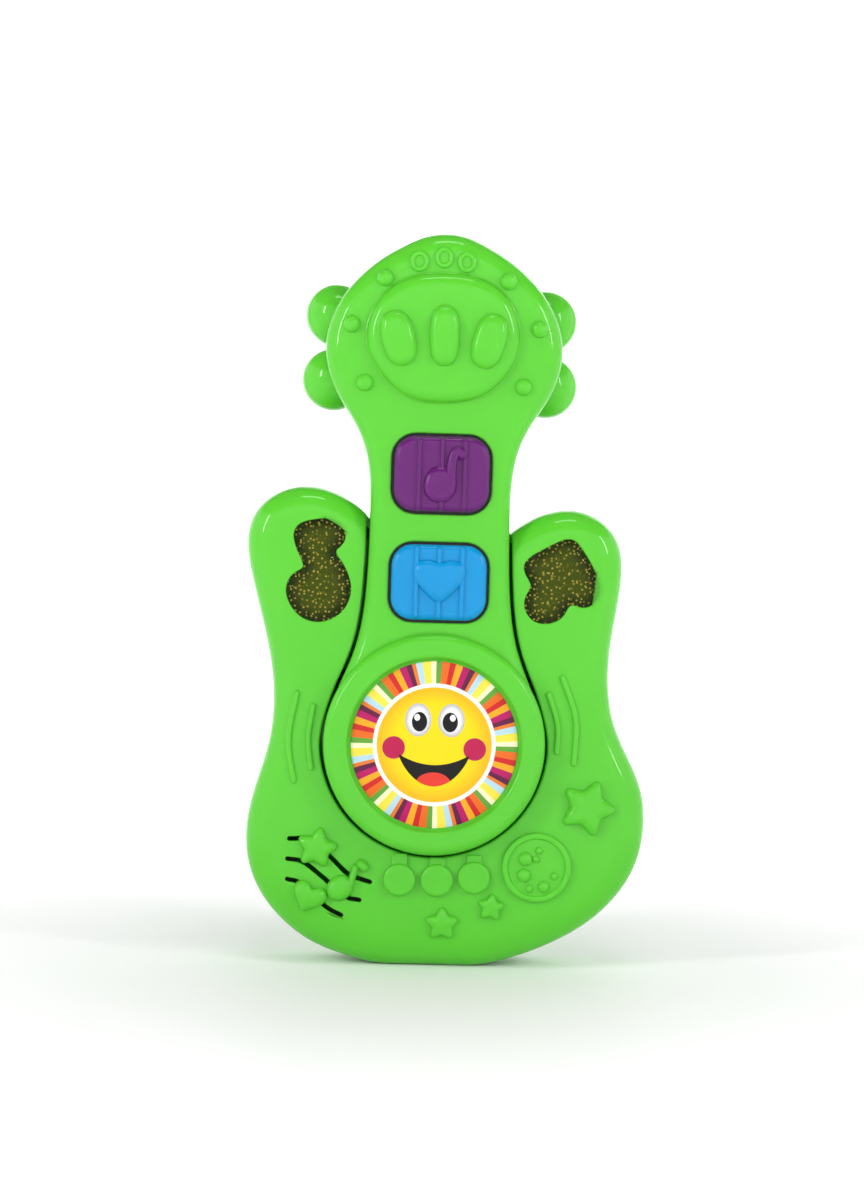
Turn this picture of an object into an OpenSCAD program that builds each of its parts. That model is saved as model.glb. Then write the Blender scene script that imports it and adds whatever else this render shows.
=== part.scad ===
// Toy electric guitar, standing upright: +Z from the body up to the head, front facing -Y.
// The origin is the middle of the small flat that the body stands on. All lengths in mm.

/* [Overall] */
// Height of the toy, from the standing flat to the crown of the head
toy_h = 240; // [200:1:290]
// Distance from the middle plane forward to the body's face
body_front = 16; // [15.5:0.1:19.2]
// Distance from the middle plane back to the body's flat back
body_back = 18; // [17.8:0.1:22]
// Distance from the middle plane forward to the face of the neck and head
neck_front = 20; // [19.5:0.1:24]
// Distance from the middle plane back to the back of the neck and head
neck_back = 11; // [10.5:0.1:13.5]
// Thickness of the moulded shells
wall = 2.2; // [1.8:0.1:2.7]
// Rounding of the body's front and back edges
body_round = 8; // [5:0.5:9]
// Rounding of the neck's and head's edges
neck_round = 4.3; // [3:0.1:5]

/* [Ring and label] */
// Outer radius of the ring
ring_r = 36.2; // [34:0.1:37]
// Radius of the round label
label_r = 27.2; // [24:0.1:27.4]
// Height of the ring's crest above the neck's face
ring_rise = 3; // [2:0.1:4]
// Gap between the body's recess and the neck panel
panel_gap = 1.1; // [0.6:0.1:1.5]

/* [Keys] */
// Width of a key
key_w = 31; // [25.8:0.1:32.5]
// Height of a key along the neck
key_h = 24.5; // [20:0.1:25.5]
// Gap all round a key
key_gap = 0.9; // [0.4:0.1:1.2]
// How far a key stands out of the neck's face
key_rise = 2.6; // [2.2:0.1:4]
// Travel of a key when pressed
key_travel = 2; // [1:0.1:2.2]

/* [Battery bay] */
// Radius of a battery cell
cell_r = 7.25; // [5.2:0.05:7.25]
// Length of a battery cell
cell_len = 50.4; // [44:0.1:50.5]
// Thickness of the battery door
door_t = 2; // [1.6:0.1:2.2]

/* [Fasteners] */
// Thread radius of the screws that hold the shells
screw_r = 1.3; // [1.1:0.05:1.4]
// Radial clearance of a screw in its hole
screw_fit = 0.02; // [0.02:0.01:0.05]

/* [Speaker and switch] */
// Radius of the speaker
speaker_r = 13.5; // [11:0.1:14]
// Travel of the power switch
switch_travel = 4; // [2:0.5:4]

/* [Hidden] */
$fn = 48;
u = toy_h / 240;                    // layout scale in the x-z plane
seam = -1.5;                        // plane where the front shells meet the back shell
seam_gap = 0.1;
body_face = -body_front;
neck_face = -neck_front;
body_floor = body_face + wall;      // inner faces
neck_floor = neck_face + wall;
back_floor = body_back - wall;
neck_back_floor = neck_back - wall;
front_top = seam - seam_gap;
inner_wall = 1.8;                   // wall round the body's recess
fit = 0.3;                          // clearance between pieces that part or move
through = 0.5;                      // how far a cutting solid runs past a face

ring_at = [0, 73.5] * u;
ring_out = ring_r * u;
ring_in = (label_r + 0.3) * u;
label_face = neck_face - 0.5;
label_t = 0.3;

key_ats = [[0, 161.5] * u, [0, 126.3] * u];
key_corner = 7 * u;
key_flange = 1.5;
flange_reach = key_gap + key_flange + 0.35;   // pocket for a key's flange, measured from the key's edge
key_top = neck_face - key_rise;
key_flange_t = 1.4;
key_wall = 1.6;
string_xs = [-7.4, 0, 7.4] * u;
string_w = 1.6;
string_rise = 0.8;

board_t = 1.6;
key_board_face = -9.5;
dome_top = key_board_face - key_travel - 1.9;
dome_base_r = 5.5;
plunger_r = 3.6;
plunger_end = dome_top - 0.1;
main_board_face = -8;
main_board_back = main_board_face + board_t;

bay_half = cell_len / 2 + 3.3;
bay_wall = 1.6;
bay_floor = 0.4;
bay_z = [53 * u, 53 * u + 40];
cell_y = bay_floor + 0.25 + cell_r;
cell_gap = 0.8;
cells_z = [for (row = [0, 1]) bay_z[0] + 0.95 + cell_r + row * (2 * cell_r + cell_gap)];
door_z = [bay_z[0] - 7, bay_z[1] - 5];
door_half = bay_half + 4.5;
door_edge = 0.3;
door_under = body_back - door_t;
ledge_t = 2;
door_screw_at = [0, door_z[0] + 3.5];
door_boss_r = 4.2;
door_boss_end = body_back - 6;
tongue_xs = [-15, 15];

screw_head_r = 2.5;
screw_head_t = 1.8;
body_seat = 6;
neck_seat = 4;
screw_tip = -9;
post_r = 4.2;
boss_r = 3.4;
body_screw_ats = [[-6, 13], [56, 44], [-50, 57], [-46, 100], [48, 104]] * u;
recess_screw_ats = [[20, 104], [-20, 104]] * u;
neck_screw_ats = [[0, 182.5], [-22, 214], [22, 214]] * u;

small_screw_r = 1;
small_head_r = 1.9;
small_head_t = 1.2;
main_board_screw_ats = [[-20, 58], [20, 90]] * u;
main_board_peg_ats = [[20, 58], [-20, 90]] * u;
key_board_screw_ats = [[-10, 143.9], [10, 143.9]] * u;
speaker_at = [-33.5, 30] * u;
clamp_ear_ats = [for (turn = [150, -30]) speaker_at + (speaker_r + 4) * [cos(turn), sin(turn)]];
speaker_flange_y = -9.05;
speaker_flange_t = 1;
clamp_t = 1.2;

switch_at = [0, 112 * u];
switch_floor = body_back - 2.5;
switch_slot = [5.2, 1.7];

led_ats = [[-38.5, 124], [38, 126]] * u;
led_r = 2.5;
led_tip = -11.6;
led_base = -3.6;

ball_r = 10.3 * u;
ball_y = 3;
ball_ats = [[-35.3, 213.8], [-36, 192.5], [34.1, 213.6], [34.7, 192]] * u;

green = "limegreen";

// ---- outlines, as x and z -------------------------------------------------

body_points = [[-15, 0], [-5, 0], [5, 0], [15, 0], [30, 3.6], [43.2, 9.3], [54, 16.2], [63.1, 25.7],
               [68.5, 36], [70.5, 48], [69, 60], [63.8, 71.5], [59.3, 82], [57.3, 95], [57.9, 108],
               [59.7, 120], [60.8, 131], [59.8, 139.4], [56.4, 145.2], [51, 149.3], [44, 151.1],
               [36.5, 150.2], [30, 147.3], [24, 143], [17, 137], [-17, 140], [-23.5, 147.5], [-29, 152],
               [-35.5, 155.2], [-42, 156.6], [-48.5, 156], [-54.7, 153.3], [-60, 148.2], [-62.5, 141],
               [-62.2, 133], [-60.3, 124.5], [-57.4, 113.5], [-54.8, 103], [-53.1, 92], [-52.9, 82],
               [-54.1, 72], [-57, 61.5], [-59.8, 51], [-60.8, 42], [-59.4, 31.5], [-55.3, 22.4],
               [-48.5, 14.2], [-39, 7.2], [-28.5, 3]];

neck_side = [[34.3, 83.5], [31.8, 91], [27.7, 101], [25, 111], [23.8, 120], [23.1, 131],
             [22.8, 145], [23, 157], [24.1, 166], [26.4, 173.4], [30, 180], [33.6, 185.3], [36.5, 191],
             [38.3, 197.5], [38.7, 204], [37.3, 211], [33.6, 218.8], [28, 225.6], [21.5, 231.2],
             [14.3, 235.6], [6.8, 239]];

boss_side = [[6, 184.6], [13.6, 187.8], [19.3, 193], [23.5, 199.5], [24.7, 206], [22.6, 214.5],
             [16.8, 221.6], [8.6, 225.6]];

lens_left_points = [[-39, 145.9], [-44.5, 144.6], [-47.3, 141], [-46.4, 136.6], [-44.2, 131.6], [-45.2, 129],
                    [-48.4, 126], [-49.4, 121.5], [-46.7, 116.1], [-40.5, 112.7], [-33.9, 114], [-29.4, 119],
                    [-28.8, 125], [-31.4, 131.4], [-33.4, 135.2], [-31.2, 138.4], [-31.3, 143],
                    [-34.6, 145.8]];

lens_right_points = [[41.7, 141.3], [33.5, 137.4], [28.9, 134], [28.3, 130.5], [30.8, 126], [28.7, 121.5],
                     [29.6, 116.6], [34.2, 113.8], [40, 115.4], [42.9, 120.4], [47, 120.2], [51.6, 123],
                     [52.3, 128], [48.6, 135.6], [45, 140.4]];

slot_routes = [[[-46.3, 41.3], [-38.8, 41], [-31.8, 34.7], [-26.6, 30.1], [-19.7, 27.7]],
               [[-46.7, 34.7], [-41.7, 33.8], [-35.3, 29.1], [-27.7, 22.9], [-23, 21.7]],
               [[-46.6, 28], [-42.1, 26.6], [-33.8, 19.3], [-28.8, 16.6]]];

rib_routes = [[[-45, 89.9], [-47.5, 73.9], [-45.2, 59.3]], [[-39.6, 85.8], [-41, 74], [-39.7, 63.6]],
              [[36.9, 91.5], [40.3, 80.7], [40.3, 70.7]], [[41.2, 97.1], [46.2, 82.7], [46, 67.1]]];
rib_half = 0.9;

function wrap(i, n) = (i % n + n) % n;
function unit(v) = v / norm(v);

// Point at t, from 0 to 1, on the smooth curve between b and c
function between(a, b, c, d, t) =
    0.5 * (2 * b + (c - a) * t + (2 * a - 5 * b + 4 * c - d) * t * t + (3 * b - a - 3 * c + d) * t * t * t);

// Closed smooth curve through the points
function closed_curve(p, steps = 2) = let (n = len(p))
    [for (i = [0 : n - 1], k = [0 : steps - 1])
        between(p[wrap(i - 1, n)], p[i], p[wrap(i + 1, n)], p[wrap(i + 2, n)], k / steps)];

// Open smooth curve through the points
function open_curve(p, steps = 5) =
    let (n = len(p), q = concat([2 * p[0] - p[1]], p, [2 * p[n - 1] - p[n - 2]]))
    concat([for (i = [0 : n - 2], k = [0 : steps - 1]) between(q[i], q[i + 1], q[i + 2], q[i + 3], k / steps)],
           [p[n - 1]]);

// Direction of travel at point i of a closed outline
function heading(p, i) = let (n = len(p))
    unit(unit(p[i] - p[wrap(i - 1, n)]) + unit(p[wrap(i + 1, n)] - p[i]));

// Anticlockwise outline moved inward by d, or outward when d is negative
function inset(p, d) = [for (i = [0 : len(p) - 1]) let (h = heading(p, i)) p[i] + d * [-h[1], h[0]]];

// Outline of a strip along an open route
function strip(p, half) = let (n = len(p),
        h = [for (i = [0 : n - 1]) unit(p[min(i + 1, n - 1)] - p[max(i - 1, 0)])])
    concat([for (i = [0 : n - 1]) p[i] + half * [h[i][1], -h[i][0]]],
           [for (i = [n - 1 : -1 : 0]) p[i] - half * [h[i][1], -h[i][0]]]);

// Side points mirrored into a closed anticlockwise outline, with a point on the top centre line
function both_sides(side, top) = concat(side, [[0, top]],
    [for (i = [len(side) - 1 : -1 : 0]) [-side[i][0], side[i][1]]]);

function arc(at, r, from, to, step) = [for (a = [from : step : to]) at + r * [cos(a), sin(a)]];

// Five-pointed outline with its first tip at the angle turn
function star(at, r, turn) = [for (i = [0 : 9]) let (a = turn + 36 * i, s = i % 2 == 0 ? r : 0.57 * r)
    at + s * [cos(a), sin(a)]];

// Rectangle with round corners
function rounded(w, h, r) =
    [for (c = [[1, 1, 0], [-1, 1, 90], [-1, -1, 180], [1, -1, 270]], a = [0 : 15 : 90])
    [c[0] * (w / 2 - r) + r * cos(a + c[2]), c[1] * (h / 2 - r) + r * sin(a + c[2])]];

function oval(at, half_w, half_h, turn) = [for (a = [0 : 20 : 340])
    at + [half_w * cos(a) * cos(turn) - half_h * sin(a) * sin(turn),
          half_w * cos(a) * sin(turn) + half_h * sin(a) * cos(turn)]];

body_curve = [for (p = closed_curve(body_points)) [p[0], max(p[1], 0)] * u];
neck_curve = closed_curve(concat(arc(ring_at, ring_out, -180, 0, 15), both_sides(neck_side * u, toy_h)));
boss_curve = closed_curve(both_sides(boss_side, 226.4)) * u;
lens_curves = [closed_curve(lens_left_points) * u, closed_curve(lens_right_points) * u];

// ---- building blocks ------------------------------------------------------

// Flat shape in x and z, standing between two y planes
module slab(y_low, y_high)
    translate([0, y_high, 0]) rotate([90, 0, 0]) linear_extrude(height = y_high - y_low) children();

// Round bar along y; its radius may change from y_low to y_high
module bar(at, r, y_low, y_high, r_high = -1)
    translate([at[0], y_high, at[1]]) rotate([90, 0, 0])
        cylinder(r1 = r_high < 0 ? r : r_high, r2 = r, h = y_high - y_low);

module box(low, high) translate(low) cube(high - low);

module neck_flat(grow) polygon(inset(neck_curve, -grow));

// Block with an outline and a stepped round edge; dir -1 rounds the front edge and 1 the back edge
module rounded_block(curve, start, face, radius, dir, extra = 0, steps = 2)
    for (k = [0 : steps]) let (a = 90 * k / steps, y = face - dir * radius * (1 - sin(a)))
        slab(min(start, y), max(start, y)) polygon(inset(curve, extra + radius * (1 - cos(a))));

// Tube along a list of points
module tube(path, r, sides = 6, beside = [0.58, 0.58, -0.58]) {
    n = len(path);
    dirs = [for (i = [0 : n - 1]) unit(path[min(i + 1, n - 1)] - path[max(i - 1, 0)])];
    side = [for (d = dirs) unit(cross(d, beside))];
    points = [for (i = [0 : n - 1], k = [0 : sides - 1]) let (a = 360 * k / sides)
        path[i] + r * (cos(a) * side[i] + sin(a) * cross(dirs[i], side[i]))];
    walls = [for (i = [0 : n - 2], k = [0 : sides - 1]) let (a = i * sides, b = (k + 1) % sides)
        [a + k, a + k + sides, a + b + sides, a + b]];
    polyhedron(points, concat(walls, [[for (k = [0 : sides - 1]) k],
        [for (k = [sides - 1 : -1 : 0]) (n - 1) * sides + k]]), convexity = 6);
}

module wire(points, r = 0.6) tube(open_curve(points, 4), r);

// Screw along y with a cross recess in its head
module screw(at, r, tip, seat, head_r, head_t) difference() {
    union() {
        bar(at, r, tip, seat + 0.1);
        bar(at, head_r, seat, seat + head_t);
    }
    for (s = [[0.36, 1.5], [1.5, 0.36]]) let (w = s * head_r / 2.5)
        box([at[0] - w[0], seat + head_t / 2, at[1] - w[1]],
            [at[0] + w[0], seat + head_t + through, at[1] + w[1]]);
}

// ---- front shells ---------------------------------------------------------

module star_badge(at, r, turn, rise) slab(body_face - rise, body_face + 1) polygon(star(at, r, turn));

// Star, note and heart that lie over the speaker slots
module slot_badges() {
    low = body_face - 3;
    high = body_face + 1;
    star_badge([-37.2, 38.5] * u, 6.4 * u, 80, 3);
    bar([-29.7, 25.6] * u, 4 * u, low, high);
    slab(low, high) polygon([[-27.6, 25], [-25.6, 25], [-23.2, 34.6], [-25.2, 34.6]] * u);
    slab(low, high) polygon([[-25, 33.6], [-21.6, 30.6], [-20.2, 32.4], [-24, 35.4]] * u);
    bar([-41.2, 24.3] * u, 3 * u, low, high);
    bar([-37.4, 22.8] * u, 3 * u, low, high);
    slab(low, high) polygon([[-44, 23], [-43, 17], [-34.9, 21.2], [-38, 24.6]] * u);
}

module dotted_disc() {
    at = [34.7, 33.8] * u;
    bar(at, 11.2 * u, body_face - 1, body_face + 1);
    difference() {
        bar(at, 11.2 * u, body_face - 1.6, body_face);
        bar(at, 9.8 * u, body_face - 2, body_face + through);
    }
    for (d = [[31, 36.6, 2.2], [30.7, 31.2, 2.2], [37, 28.6, 2.2], [35.4, 39.4, 1.2], [34.5, 36.6, 1.2],
              [40.6, 31.1, 1.2], [32.6, 26.9, 1.2]])
        bar([d[0], d[1]] * u, d[2] * u, body_face - 2.2, body_face);
}

module knob_row()
    for (at = [[-10.1, 28.8], [2.2, 28.9], [14.3, 30]] * u) {
        bar(at, 5.2 * u, body_face - 2, body_face + 1);
        slab(body_face - 1, body_face + 1) translate([at[0] - 2.4 * u, at[1]]) square([4.8 * u, 7 * u]);
    }

module speaker_seat() difference() {
    bar(speaker_at, speaker_r + 1.7, body_floor - 1, speaker_flange_y);
    bar(speaker_at, speaker_r - 1.5, body_floor, speaker_flange_y);
}

module body_front_shell() color(green) {
    ear_low = body_floor - 0.5;
    difference() {
        union() {
            difference() {
                rounded_block(body_curve, front_top, body_face, body_round, -1);
                difference() {
                    rounded_block(body_curve, front_top + through, body_floor, body_round, -1, wall);
                    slab(body_face - 1, 1) neck_flat(panel_gap + inner_wall);
                }
            }
            for (at = body_screw_ats) bar(at, boss_r, body_floor - 0.5, front_top);
            speaker_seat();
            for (at = clamp_ear_ats) bar(at, 2.4, ear_low, speaker_flange_y);
            for (route = rib_routes)
                slab(body_face - 1, body_face + 0.5) polygon(strip(open_curve(route) * u, rib_half * u));
            star_badge([51, 53.7] * u, 9.3 * u, 69, 3);
            star_badge([4.3, 14.5] * u, 5.2 * u, 90, 1.8);
            star_badge([20.2, 20.3] * u, 4.3 * u, 84, 1.8);
            dotted_disc();
            knob_row();
        }
        slab(body_face - 1, 1) neck_flat(panel_gap);
        for (at = body_screw_ats) bar(at, screw_r + screw_fit, screw_tip - 1, 0);
        for (at = clamp_ear_ats) bar(at, small_screw_r + screw_fit, body_floor + 0.2, 0);
        for (curve = lens_curves) {
            slab(body_face - 1, 0) polygon(inset(curve, -0.15));
            slab(body_floor, front_top) polygon(inset(curve, -1.8));
        }
        for (route = slot_routes)
            slab(body_face - 1, body_floor + 0.4) polygon(strip(open_curve(route) * u, 0.9 * u));
        bar(speaker_at, speaker_r + 0.2, speaker_flange_y - speaker_flange_t, 0);
        bar(speaker_at, speaker_r + 2, speaker_flange_y, 0);
        for (at = clamp_ear_ats) bar(at, 3, speaker_flange_y, 0);
    }
    slot_badges();
}

module neck_front_panel() color(green) difference() {
    union() {
        difference() {
            union() {
                rounded_block(neck_curve, front_top, neck_face, neck_round, -1);
                bar(ring_at, ring_out - neck_round - 0.5, neck_face - ring_rise, neck_floor);
                intersection() {
                    balls(0);
                    box([-100, -100, 0], [100, front_top, 300 * u]);
                }
            }
            rounded_block(neck_curve, front_top + through, neck_floor, neck_round, -1, wall);
            intersection() {
                balls(-wall);
                box([-100, -7, 0], [100, 0, 300 * u]);
            }
        }
        slab(neck_face - 2.5, neck_face + 0.5) polygon(boss_curve);
        for (o = [[-14.8, 204.4, 9], [-0.2, 205.7, 0], [14.1, 204.2, -9]])
            slab(neck_face - 5, neck_face) polygon(oval([o[0], o[1]] * u, 5.2 * u, 9.8 * u, o[2]));
        for (s = [-1, 1], at = [[20, 224.6], [30.5, 209.4], [25.8, 190.5]])
            translate([s * at[0] * u, neck_face + 0.5, at[1] * u]) sphere(r = 2.7 * u);
        for (at = [[-9.1, 230.3], [-1.1, 231.7], [6.3, 230.4]]) slab(neck_face - 0.8, neck_face + 1)
            polygon(oval(at * u, 3.1 * u, 3.3 * u, 0));
        for (at = concat(recess_screw_ats, neck_screw_ats)) bar(at, boss_r, neck_floor - 0.5, front_top);
        for (at = concat(main_board_screw_ats, main_board_peg_ats))
            bar(at, 2.6, neck_floor - 0.5, main_board_face);
        for (at = main_board_peg_ats) bar(at, 1, neck_floor, main_board_back + 0.6);
        for (at = key_board_screw_ats) bar(at, 2.6, neck_floor - 0.5, key_board_face);
    }
    bar(ring_at, ring_in, neck_face - ring_rise - 1, label_face);
    for (at = key_ats) translate([at[0], 0, at[1]]) slab(neck_face - 2, neck_floor + 0.4)
        polygon(rounded(key_w * u + 2 * key_gap, key_h * u + 2 * key_gap, key_corner + key_gap));
    for (at = key_ats) translate([at[0], 0, at[1]]) slab(neck_floor, neck_floor + neck_round + 0.5)
        polygon(rounded(key_w * u + 2 * flange_reach, key_h * u + 2 * flange_reach,
                        key_corner + flange_reach));
    for (at = concat(recess_screw_ats, neck_screw_ats)) bar(at, screw_r + screw_fit, screw_tip - 1, 0);
    for (at = concat(main_board_screw_ats, key_board_screw_ats))
        bar(at, small_screw_r + screw_fit, neck_floor + 2, 0);
    for (at = [[-9.1, 230.3], [-1.1, 231.7], [6.3, 230.4]]) slab(neck_face - 1, neck_face - 0.2)
        polygon(oval(at * u, 1.4 * u, 2 * u, 0));
}

// The four tuning balls at the head's sides, grown or shrunk
module balls(grow) for (at = ball_ats) translate([at[0], ball_y, at[1]]) sphere(r = ball_r + grow);

// ---- back shell -----------------------------------------------------------

module back_skin() difference() {
    union() {
        rounded_block(body_curve, seam, body_back, body_round, 1);
        rounded_block(neck_curve, seam, neck_back, neck_round, 1);
        intersection() {
            balls(0);
            box([-100, seam, 0], [100, 40, 300 * u]);
        }
    }
    rounded_block(body_curve, seam - through, back_floor, body_round, 1, wall);
    rounded_block(neck_curve, seam - through, neck_back_floor, neck_round, 1, wall);
    intersection() {
        balls(-wall);
        box([-100, seam - through, 0], [100, 9, 300 * u]);
    }
}

module battery_bay() {
    box([-bay_half - bay_wall, bay_floor - bay_wall, bay_z[0] - bay_wall],
        [bay_half + bay_wall, back_floor + 0.1, bay_z[1] + bay_wall]);
    box([-door_half - 2, door_under - 0.2 - ledge_t, door_z[0] - 2],
        [door_half + 2, back_floor + 0.1, bay_z[1] + bay_wall]);
    bar(door_screw_at, 3.8, 2, door_boss_end - fit);
}

module back_shell() color(green) difference() {
    union() {
        back_skin();
        battery_bay();
        for (at = concat(body_screw_ats, recess_screw_ats)) bar(at, post_r, seam, back_floor + 0.5);
        for (at = neck_screw_ats) bar(at, post_r, seam, neck_back_floor + 0.5);
        for (at = led_ats) bar(at, led_r + 1.9, led_base - 1.5, back_floor + 0.5);
        box([switch_at[0] - 11, switch_floor - 2, switch_at[1] - 7],
            [switch_at[0] + 11, back_floor + 0.1, switch_at[1] + 7]);
        for (s = [-1, 1]) bar(switch_at + [7.7 * s, 0], 0.9, switch_floor - 3.4, switch_floor);
    }
    box([-bay_half, bay_floor, bay_z[0]], [bay_half, back_floor, bay_z[1]]);
    box([-door_half - door_edge, door_under - 0.2, door_z[0] - door_edge],
        [door_half + door_edge, body_back + 1, door_z[1] + door_edge]);
    bar(door_screw_at, door_boss_r + 1, door_boss_end - fit, body_back);
    bar(door_screw_at, 1.42, 5, door_boss_end);
    bar(door_screw_at, 1.42, door_boss_end - fit - 2.2, door_boss_end, 2.05);
    for (at = concat(body_screw_ats, recess_screw_ats)) {
        bar(at, screw_r + 0.25, seam - 1, body_seat + 0.1);
        bar(at, screw_head_r + 0.4, body_seat, body_back + 1);
    }
    for (at = neck_screw_ats) {
        bar(at, screw_r + 0.25, seam - 1, neck_seat + 0.1);
        bar(at, screw_head_r + 0.4, neck_seat, neck_back + 1);
    }
    for (at = led_ats) bar(at, led_r + 0.5, led_base - 2, led_base + 4);
    box([switch_at[0] - 8.5, switch_floor, switch_at[1] - 4.5],
        [switch_at[0] + 8.5, body_back + 1, switch_at[1] + 4.5]);
    box([switch_at[0] - switch_slot[0], switch_floor - 3, switch_at[1] - switch_slot[1]],
        [switch_at[0] + switch_slot[0], body_back, switch_at[1] + switch_slot[1]]);
    // sound holes behind the speaker
    for (k = [-2 : 2]) slab(back_floor - 1, body_back + 1)
        translate(speaker_at + [-7, 3.6 * k - 0.8]) square([14, 1.6]);
}

// ---- battery compartment --------------------------------------------------

module battery_door() color(green) difference() {
    union() {
        box([-door_half, door_under, door_z[0]], [door_half, body_back, door_z[1]]);
        for (x = tongue_xs) {
            box([x - 5, body_back - 4.4, door_z[1] - 3.6], [x + 5, door_under + 0.1, door_z[1] - 0.2]);
            box([x - 5, body_back - 4.4, door_z[1] - 3.6], [x + 5, body_back - 2.6, door_z[1] + 3.3]);
        }
        bar(door_screw_at, door_boss_r, door_boss_end, door_under + 0.1);
    }
    bar(door_screw_at, screw_r + 0.06, door_boss_end - 1, body_back);
    bar(door_screw_at, screw_head_r + 0.3, body_back - 2.6, body_back + 1);
    for (k = [0 : 4]) box([-9 + k, body_back - 0.6, door_z[1] - 12 + 1.8 * k],
                          [9 - k, body_back + 1, door_z[1] - 11.2 + 1.8 * k]);
}

module door_screw() color("silver")
    screw(door_screw_at, screw_r, door_boss_end - 2.2, body_back - 2.6, screw_head_r, 1.6);

// Cell along x with its button end towards +x when dir is 1
module cell(z, dir) translate([dir * (bay_half - 0.6 - cell_len), cell_y, z]) rotate([0, 90 * dir, 0]) {
    cylinder(r = cell_r, h = cell_len - 1.3);
    cylinder(r = 2.7, h = cell_len);
}

module battery_cell_upper() color("gold") cell(cells_z[1], 1);
module battery_cell_lower() color("gold") cell(cells_z[0], -1);

module contact_plates() color("silver") {
    plate_t = 0.4;
    for (s = [-1, 1], z = cells_z) let (x = s * bay_half)
        box([min(x, x - s * plate_t), 3, z - 5], [max(x, x - s * plate_t), 13, z + 5]);
    box([bay_half - plate_t, 6, cells_z[0]], [bay_half, 9.5, cells_z[1]]);
}

module contact_springs() color("silver") for (end = [[-1, cells_z[1]], [1, cells_z[0]]]) {
    turns = 4;
    length = 2 * bay_half - 0.6 - cell_len - 1.3;
    tube([for (k = [0 : 12 * turns]) let (a = 30 * k, r = 4.6 - 2 * k / (12 * turns))
        [end[0] * (bay_half - 0.8 - length * k / (12 * turns)), cell_y + r * cos(a), end[1] + r * sin(a)]],
        0.38, beside = [1, 0, 0]);
}

// ---- keys -----------------------------------------------------------------

// Rounded cap with a stepped top edge
module key_cap() {
    for (k = [[0, 1.6], [0.6, 0.7], [1.5, 0]])
        slab(key_top + k[1], neck_floor + 0.2 + key_flange_t)
            polygon(rounded(key_w * u - 2 * k[0], key_h * u - 2 * k[0], key_corner - k[0]));
    slab(neck_floor + 0.2, neck_floor + 0.2 + key_flange_t)
        polygon(rounded(key_w * u + 2 * (key_gap + key_flange), key_h * u + 2 * (key_gap + key_flange),
                        key_corner + 2));
    for (x = string_xs) box([x - string_w / 2, key_top - string_rise, -key_h * u / 2 + 1.8],
                            [x + string_w / 2, key_top + 1, key_h * u / 2 - 1.8]);
}

module key(at) translate([at[0], 0, at[1]]) {
    difference() {
        union() {
            key_cap();
            children();
        }
        slab(key_top + key_wall + 0.8, 0)
            polygon(rounded(key_w * u - 2 * key_wall - 1, key_h * u - 2 * key_wall - 1,
                            key_corner - key_wall));
    }
    bar([0, 0], plunger_r, key_top + key_wall, plunger_end);
}

module button_purple() color("rebeccapurple") key(key_ats[0]) {
    bar([-0.8, -2.4] * u, 5.2 * u, key_top - 1.7, key_top + 1);
    slab(key_top - 1.7, key_top + 1) polygon([[1.6, -2], [4.3, -2], [4.3, 9], [1.6, 9]] * u);
    slab(key_top - 1.7, key_top + 1) polygon([[4, 6.5], [6.4, 4.2], [8, 6], [4, 9.4]] * u);
}

module button_blue() color("deepskyblue") key(key_ats[1]) {
    for (s = [-1, 1]) bar([4 * s, 3.4] * u, 4.4 * u, key_top - 1.7, key_top + 1);
    slab(key_top - 1.7, key_top + 1)
        polygon([[-8.1, 1.8], [-6, -1.6], [0, -6.6], [6, -1.6], [8.1, 1.8], [0, 5]] * u);
}

module dome(at) color("gainsboro") difference() {
    union() {
        bar(at, dome_base_r + 2, key_board_face - 0.8, key_board_face);
        bar(at, plunger_r + 0.6, dome_top + 0.8, key_board_face - 0.7, dome_base_r);
        bar(at, plunger_r, dome_top, dome_top + 0.9);
    }
    bar(at, plunger_r - 0.6, dome_top + 1.2, key_board_face + 1, dome_base_r - 1.2);
}

module dome_purple() dome(key_ats[0]);
module dome_blue() dome(key_ats[1]);

// ---- boards ---------------------------------------------------------------

module button_board() color("darkolivegreen") difference() {
    slab(key_board_face, key_board_face + board_t) translate([-17.5, 112.5] * u) square([35, 63] * u);
    for (at = key_board_screw_ats) bar(at, small_screw_r + 0.15, key_board_face - 1, key_board_face + 3);
}

module main_board() color("darkolivegreen") difference() {
    slab(main_board_face, main_board_back) translate([-24, 54] * u) square([48, 40] * u);
    for (at = concat(main_board_screw_ats, main_board_peg_ats))
        bar(at, small_screw_r + 0.15, main_board_face - 1, main_board_back + 1);
}

module chip_blob() color("black") bar([-6, 76] * u, 6.5, main_board_back, main_board_back + 1.6, 4);

module capacitor() color("navy") translate([8 * u, main_board_back + 2.1, 66 * u]) cylinder(r = 2, h = 9);

module button_ribbon() color("lightgray")
    slab(main_board_face - 0.4, main_board_face) translate([-6, 88] * u) square([12, 24.4] * u);

module board_screws() color("silver") {
    for (at = main_board_screw_ats)
        screw(at, small_screw_r, main_board_back - 5, main_board_back, small_head_r, small_head_t);
    for (at = key_board_screw_ats)
        screw(at, small_screw_r, key_board_face - 4, key_board_face + board_t, small_head_r, small_head_t);
    for (at = clamp_ear_ats)
        screw(at, small_screw_r, speaker_flange_y - 3.5, speaker_flange_y + clamp_t, small_head_r, small_head_t);
}

// ---- speaker --------------------------------------------------------------

// Profile of radius against depth, turned about the speaker's axis
module speaker_turned(profile)
    translate([speaker_at[0], speaker_flange_y, speaker_at[1]])
        rotate([-90, 0, 0]) rotate_extrude() polygon(profile);

cup_r = speaker_r - 2;
magnet_r = 7;

module speaker_basket() color("silver") speaker_turned([[speaker_r, -0.95], [speaker_r, 0], [cup_r, 0],
    [magnet_r + 0.5, 4.2], [0, 4.2], [0, 3.6], [magnet_r, 3.6], [cup_r - 0.6, -0.3], [cup_r - 0.6, -0.95]]);

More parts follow.
